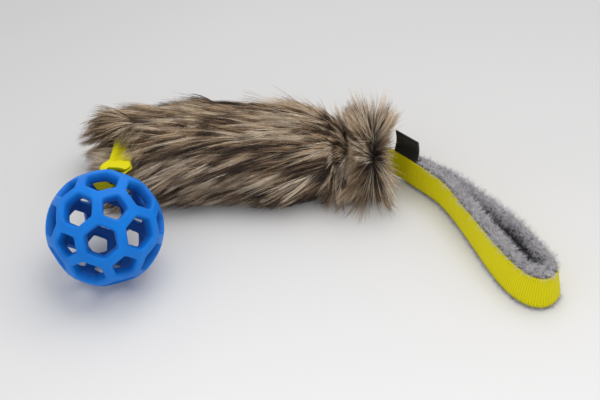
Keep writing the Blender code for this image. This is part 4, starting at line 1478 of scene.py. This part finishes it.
def curlyPileTree():
    # short bent fibres that stand off the cloth every way
    tree, given = startTree("curlyPile", {
        "Density": fleece["density"], "Seed": 1, "Length": 3.2 * mm, "Curl": 1.1 * mm,
        "Width": 0.16 * mm, "Tuft Size": fleece["tuft"], "Material": None,
    })
    curves = startStrands(tree, given, fleece["strandStations"])
    root = recall(tree, "rootPlace", "FLOAT_VECTOR")
    normal = recall(tree, "rootNormal", "FLOAT_VECTOR")
    t = recall(tree, "along")
    ownWay = chanceOf(tree, given["Seed"] + 100.0)
    ownTurn = chanceOf(tree, given["Seed"] + 200.0)
    tuft = cellsOf(tree, root, given["Tuft Size"])["Color"]
    way = normal + ownWay * fleece["ownLean"] + (tuft - (0.5, 0.5, 0.5)) * fleece["tuftSplay"]
    shade = tuft.parts()["X"] + ownTurn.parts()["X"] * fleece["ownTone"]
    curves = keep(tree, curves, "tuftTone", shade)
    reach = given["Length"] * recall(tree, "pileLength") * t
    bend = (t * fleece["curlTurn"]).number("SINE") * given["Curl"]
    spot = root + way.arrow("NORMALIZE") * reach + ownTurn * bend
    radius = (1.0 - t * fleece["taper"]) * given["Width"]
    return endStrands(tree, curves, spot, fleece["strandFloor"], radius, given["Material"])


def makeLining():
    # a rounded band inside the hand loop, with each point's pile, painted border light share and pile length
    length, stations = handLoopStations(fleece["stationStep"])
    path = [point for _, _, point, _, _ in stations]
    rings, rows = [], []
    for k, (share, at, point, side, up) in enumerate(stations):
        if at < fleece["start"] or at > length - fleece["end"]:
            continue
        room = (roomAcross(path, k) - webbing["thickness"] - fleece["faceGap"]) / 2 - fleece["gap"]
        thick = min(fleece["thickness"], room)
        fullness = min(thick / fleece["thickness"] + fleece["thinFullness"], 1.0)
        centre = point + side * (webbing["thickness"] / 2 + fleece["gap"] + thick / 2)
        aside = leanAt(share) * (webbing["lift"] + webbing["width"] / 2)
        centre += up * (fleece["width"] / 2) - side * aside
        ring = []
        for i in range(fleece["ringPoints"]):
            angle = 2 * math.pi * i / fleece["ringPoints"]
            u, v = (math.copysign(abs(part) ** fleece["squareness"], part)
                    for part in (math.cos(angle), math.sin(angle)))
            spot = centre + side * (u * thick / 2) + up * (v * (fleece["width"] / 2 - fleece["borderInset"]))
            # the pile rolls over the webbing's upper border
            spot -= side * (rise(v, *fleece["overRise"]) * (1 - u) / 2 * fleece["overhang"])
            place = spot / fleece["lumpSize"]
            lump = noise.noise(place) + fleece["smallLumps"] * noise.noise(place * fleece["lumpDetail"])
            lump *= fleece["lumpHeight"]
            out = (side * (u / thick) + up * (v / fleece["width"])).normalized()
            spot += out * (lump * (1.0 if u > fleece["behind"] else fleece["lumpBehind"]))
            spot.z = max(spot.z, fleece["floorGap"])
            ring.append(spot)
            seen = u > fleece["bareBehind"] or abs(v) > fleece["borderFrom"]
            longer = (1 - fleece["middleLength"]) * rise(abs(v), *fleece["lengthRise"])
            # the second share is painted light, lighter toward both borders of the band
            rows.append((
                1.0 if seen else 0.0, rise(abs(v), *fleece["rimRise"]),
                fullness * (fleece["middleLength"] + longer),
            ))
        rings.append(ring)
    mesh = loft("fleeceLining", rings)
    for name, values in zip(("pile", "rimLightShare", "pileLength"), zip(*rows)):
        setAttribute(mesh, name, values)
    return addObject("fleeceLining", mesh, fleeceCloth)


def makeFleece():
    lining = makeLining()
    tree = curlyPileTree()
    for name, sizes in fleeceCoats.items():
        piece = grown(lining, tree, dict(sizes, Material=fleeceCurls), name)
        print("  ", name, len(piece.data.polygons), "faces")
        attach(piece, "handle")
    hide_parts("fleece_lining")
    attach(lining, "handle")


makeFleece()
print("fleece made")


# label tab: a folded woven tape that stands on the webbing's edge, left bare

label = dict(width=24 * mm, height=21 * mm, leaf=0.5 * mm, gap=0.5 * mm, bow=2.2 * mm, bowPower=1.2,
             sideBow=0.2, columns=13, leafSteps=8, sharpAngle=50)


def makeLabel():
    foot, along = pivots["label_flip"], pivotAxes["label_flip"].normalized()
    side = inward(along)
    reach = (label["leaf"] + label["gap"]) / 2
    low = -label["leaf"] - label["gap"] / 2
    high = label["height"] + low - reach - label["leaf"] / 2
    steps = label["leafSteps"]
    route = [(-reach, low + (high - low) * k / steps) for k in range(steps + 1)]
    route += [(-reach * math.cos(a), high + reach * math.sin(a))
              for a in (math.pi / 4, math.pi / 2, 3 * math.pi / 4)]
    route += [(reach, high - (high - low) * k / steps) for k in range(steps + 1)]
    flats = [Vector((u, v, 0)) for u, v in route]
    columns = range(label["columns"])
    rings = []
    for point, tangent in zip(flats, tangentsOf(flats)):
        out = Vector((tangent.y, -tangent.x, 0))
        share = min(max((point.y - low) / (high - low), 0), 1)
        ring = []
        for face in (0.5, -0.5):
            for i in columns if face > 0 else reversed(columns):
                a = 2 * i / (label["columns"] - 1) - 1
                bow = label["bow"] * math.sin(math.pi * share) ** label["bowPower"]
                bow *= 1 - label["sideBow"] * a * a
                spot = point + out * (face * label["leaf"])
                across = foot + along * (a * label["width"] / 2)
                ring.append(across + side * (spot.x + bow) + upward * spot.y)
        rings.append(ring)
    piece = addObject("labelTab", loft("labelTab", rings), labelCloth)
    piece.data.set_sharp_from_angle(angle=math.radians(label["sharpAngle"]))
    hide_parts("label_tab")
    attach(piece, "label")


makeLabel()
print("label made")
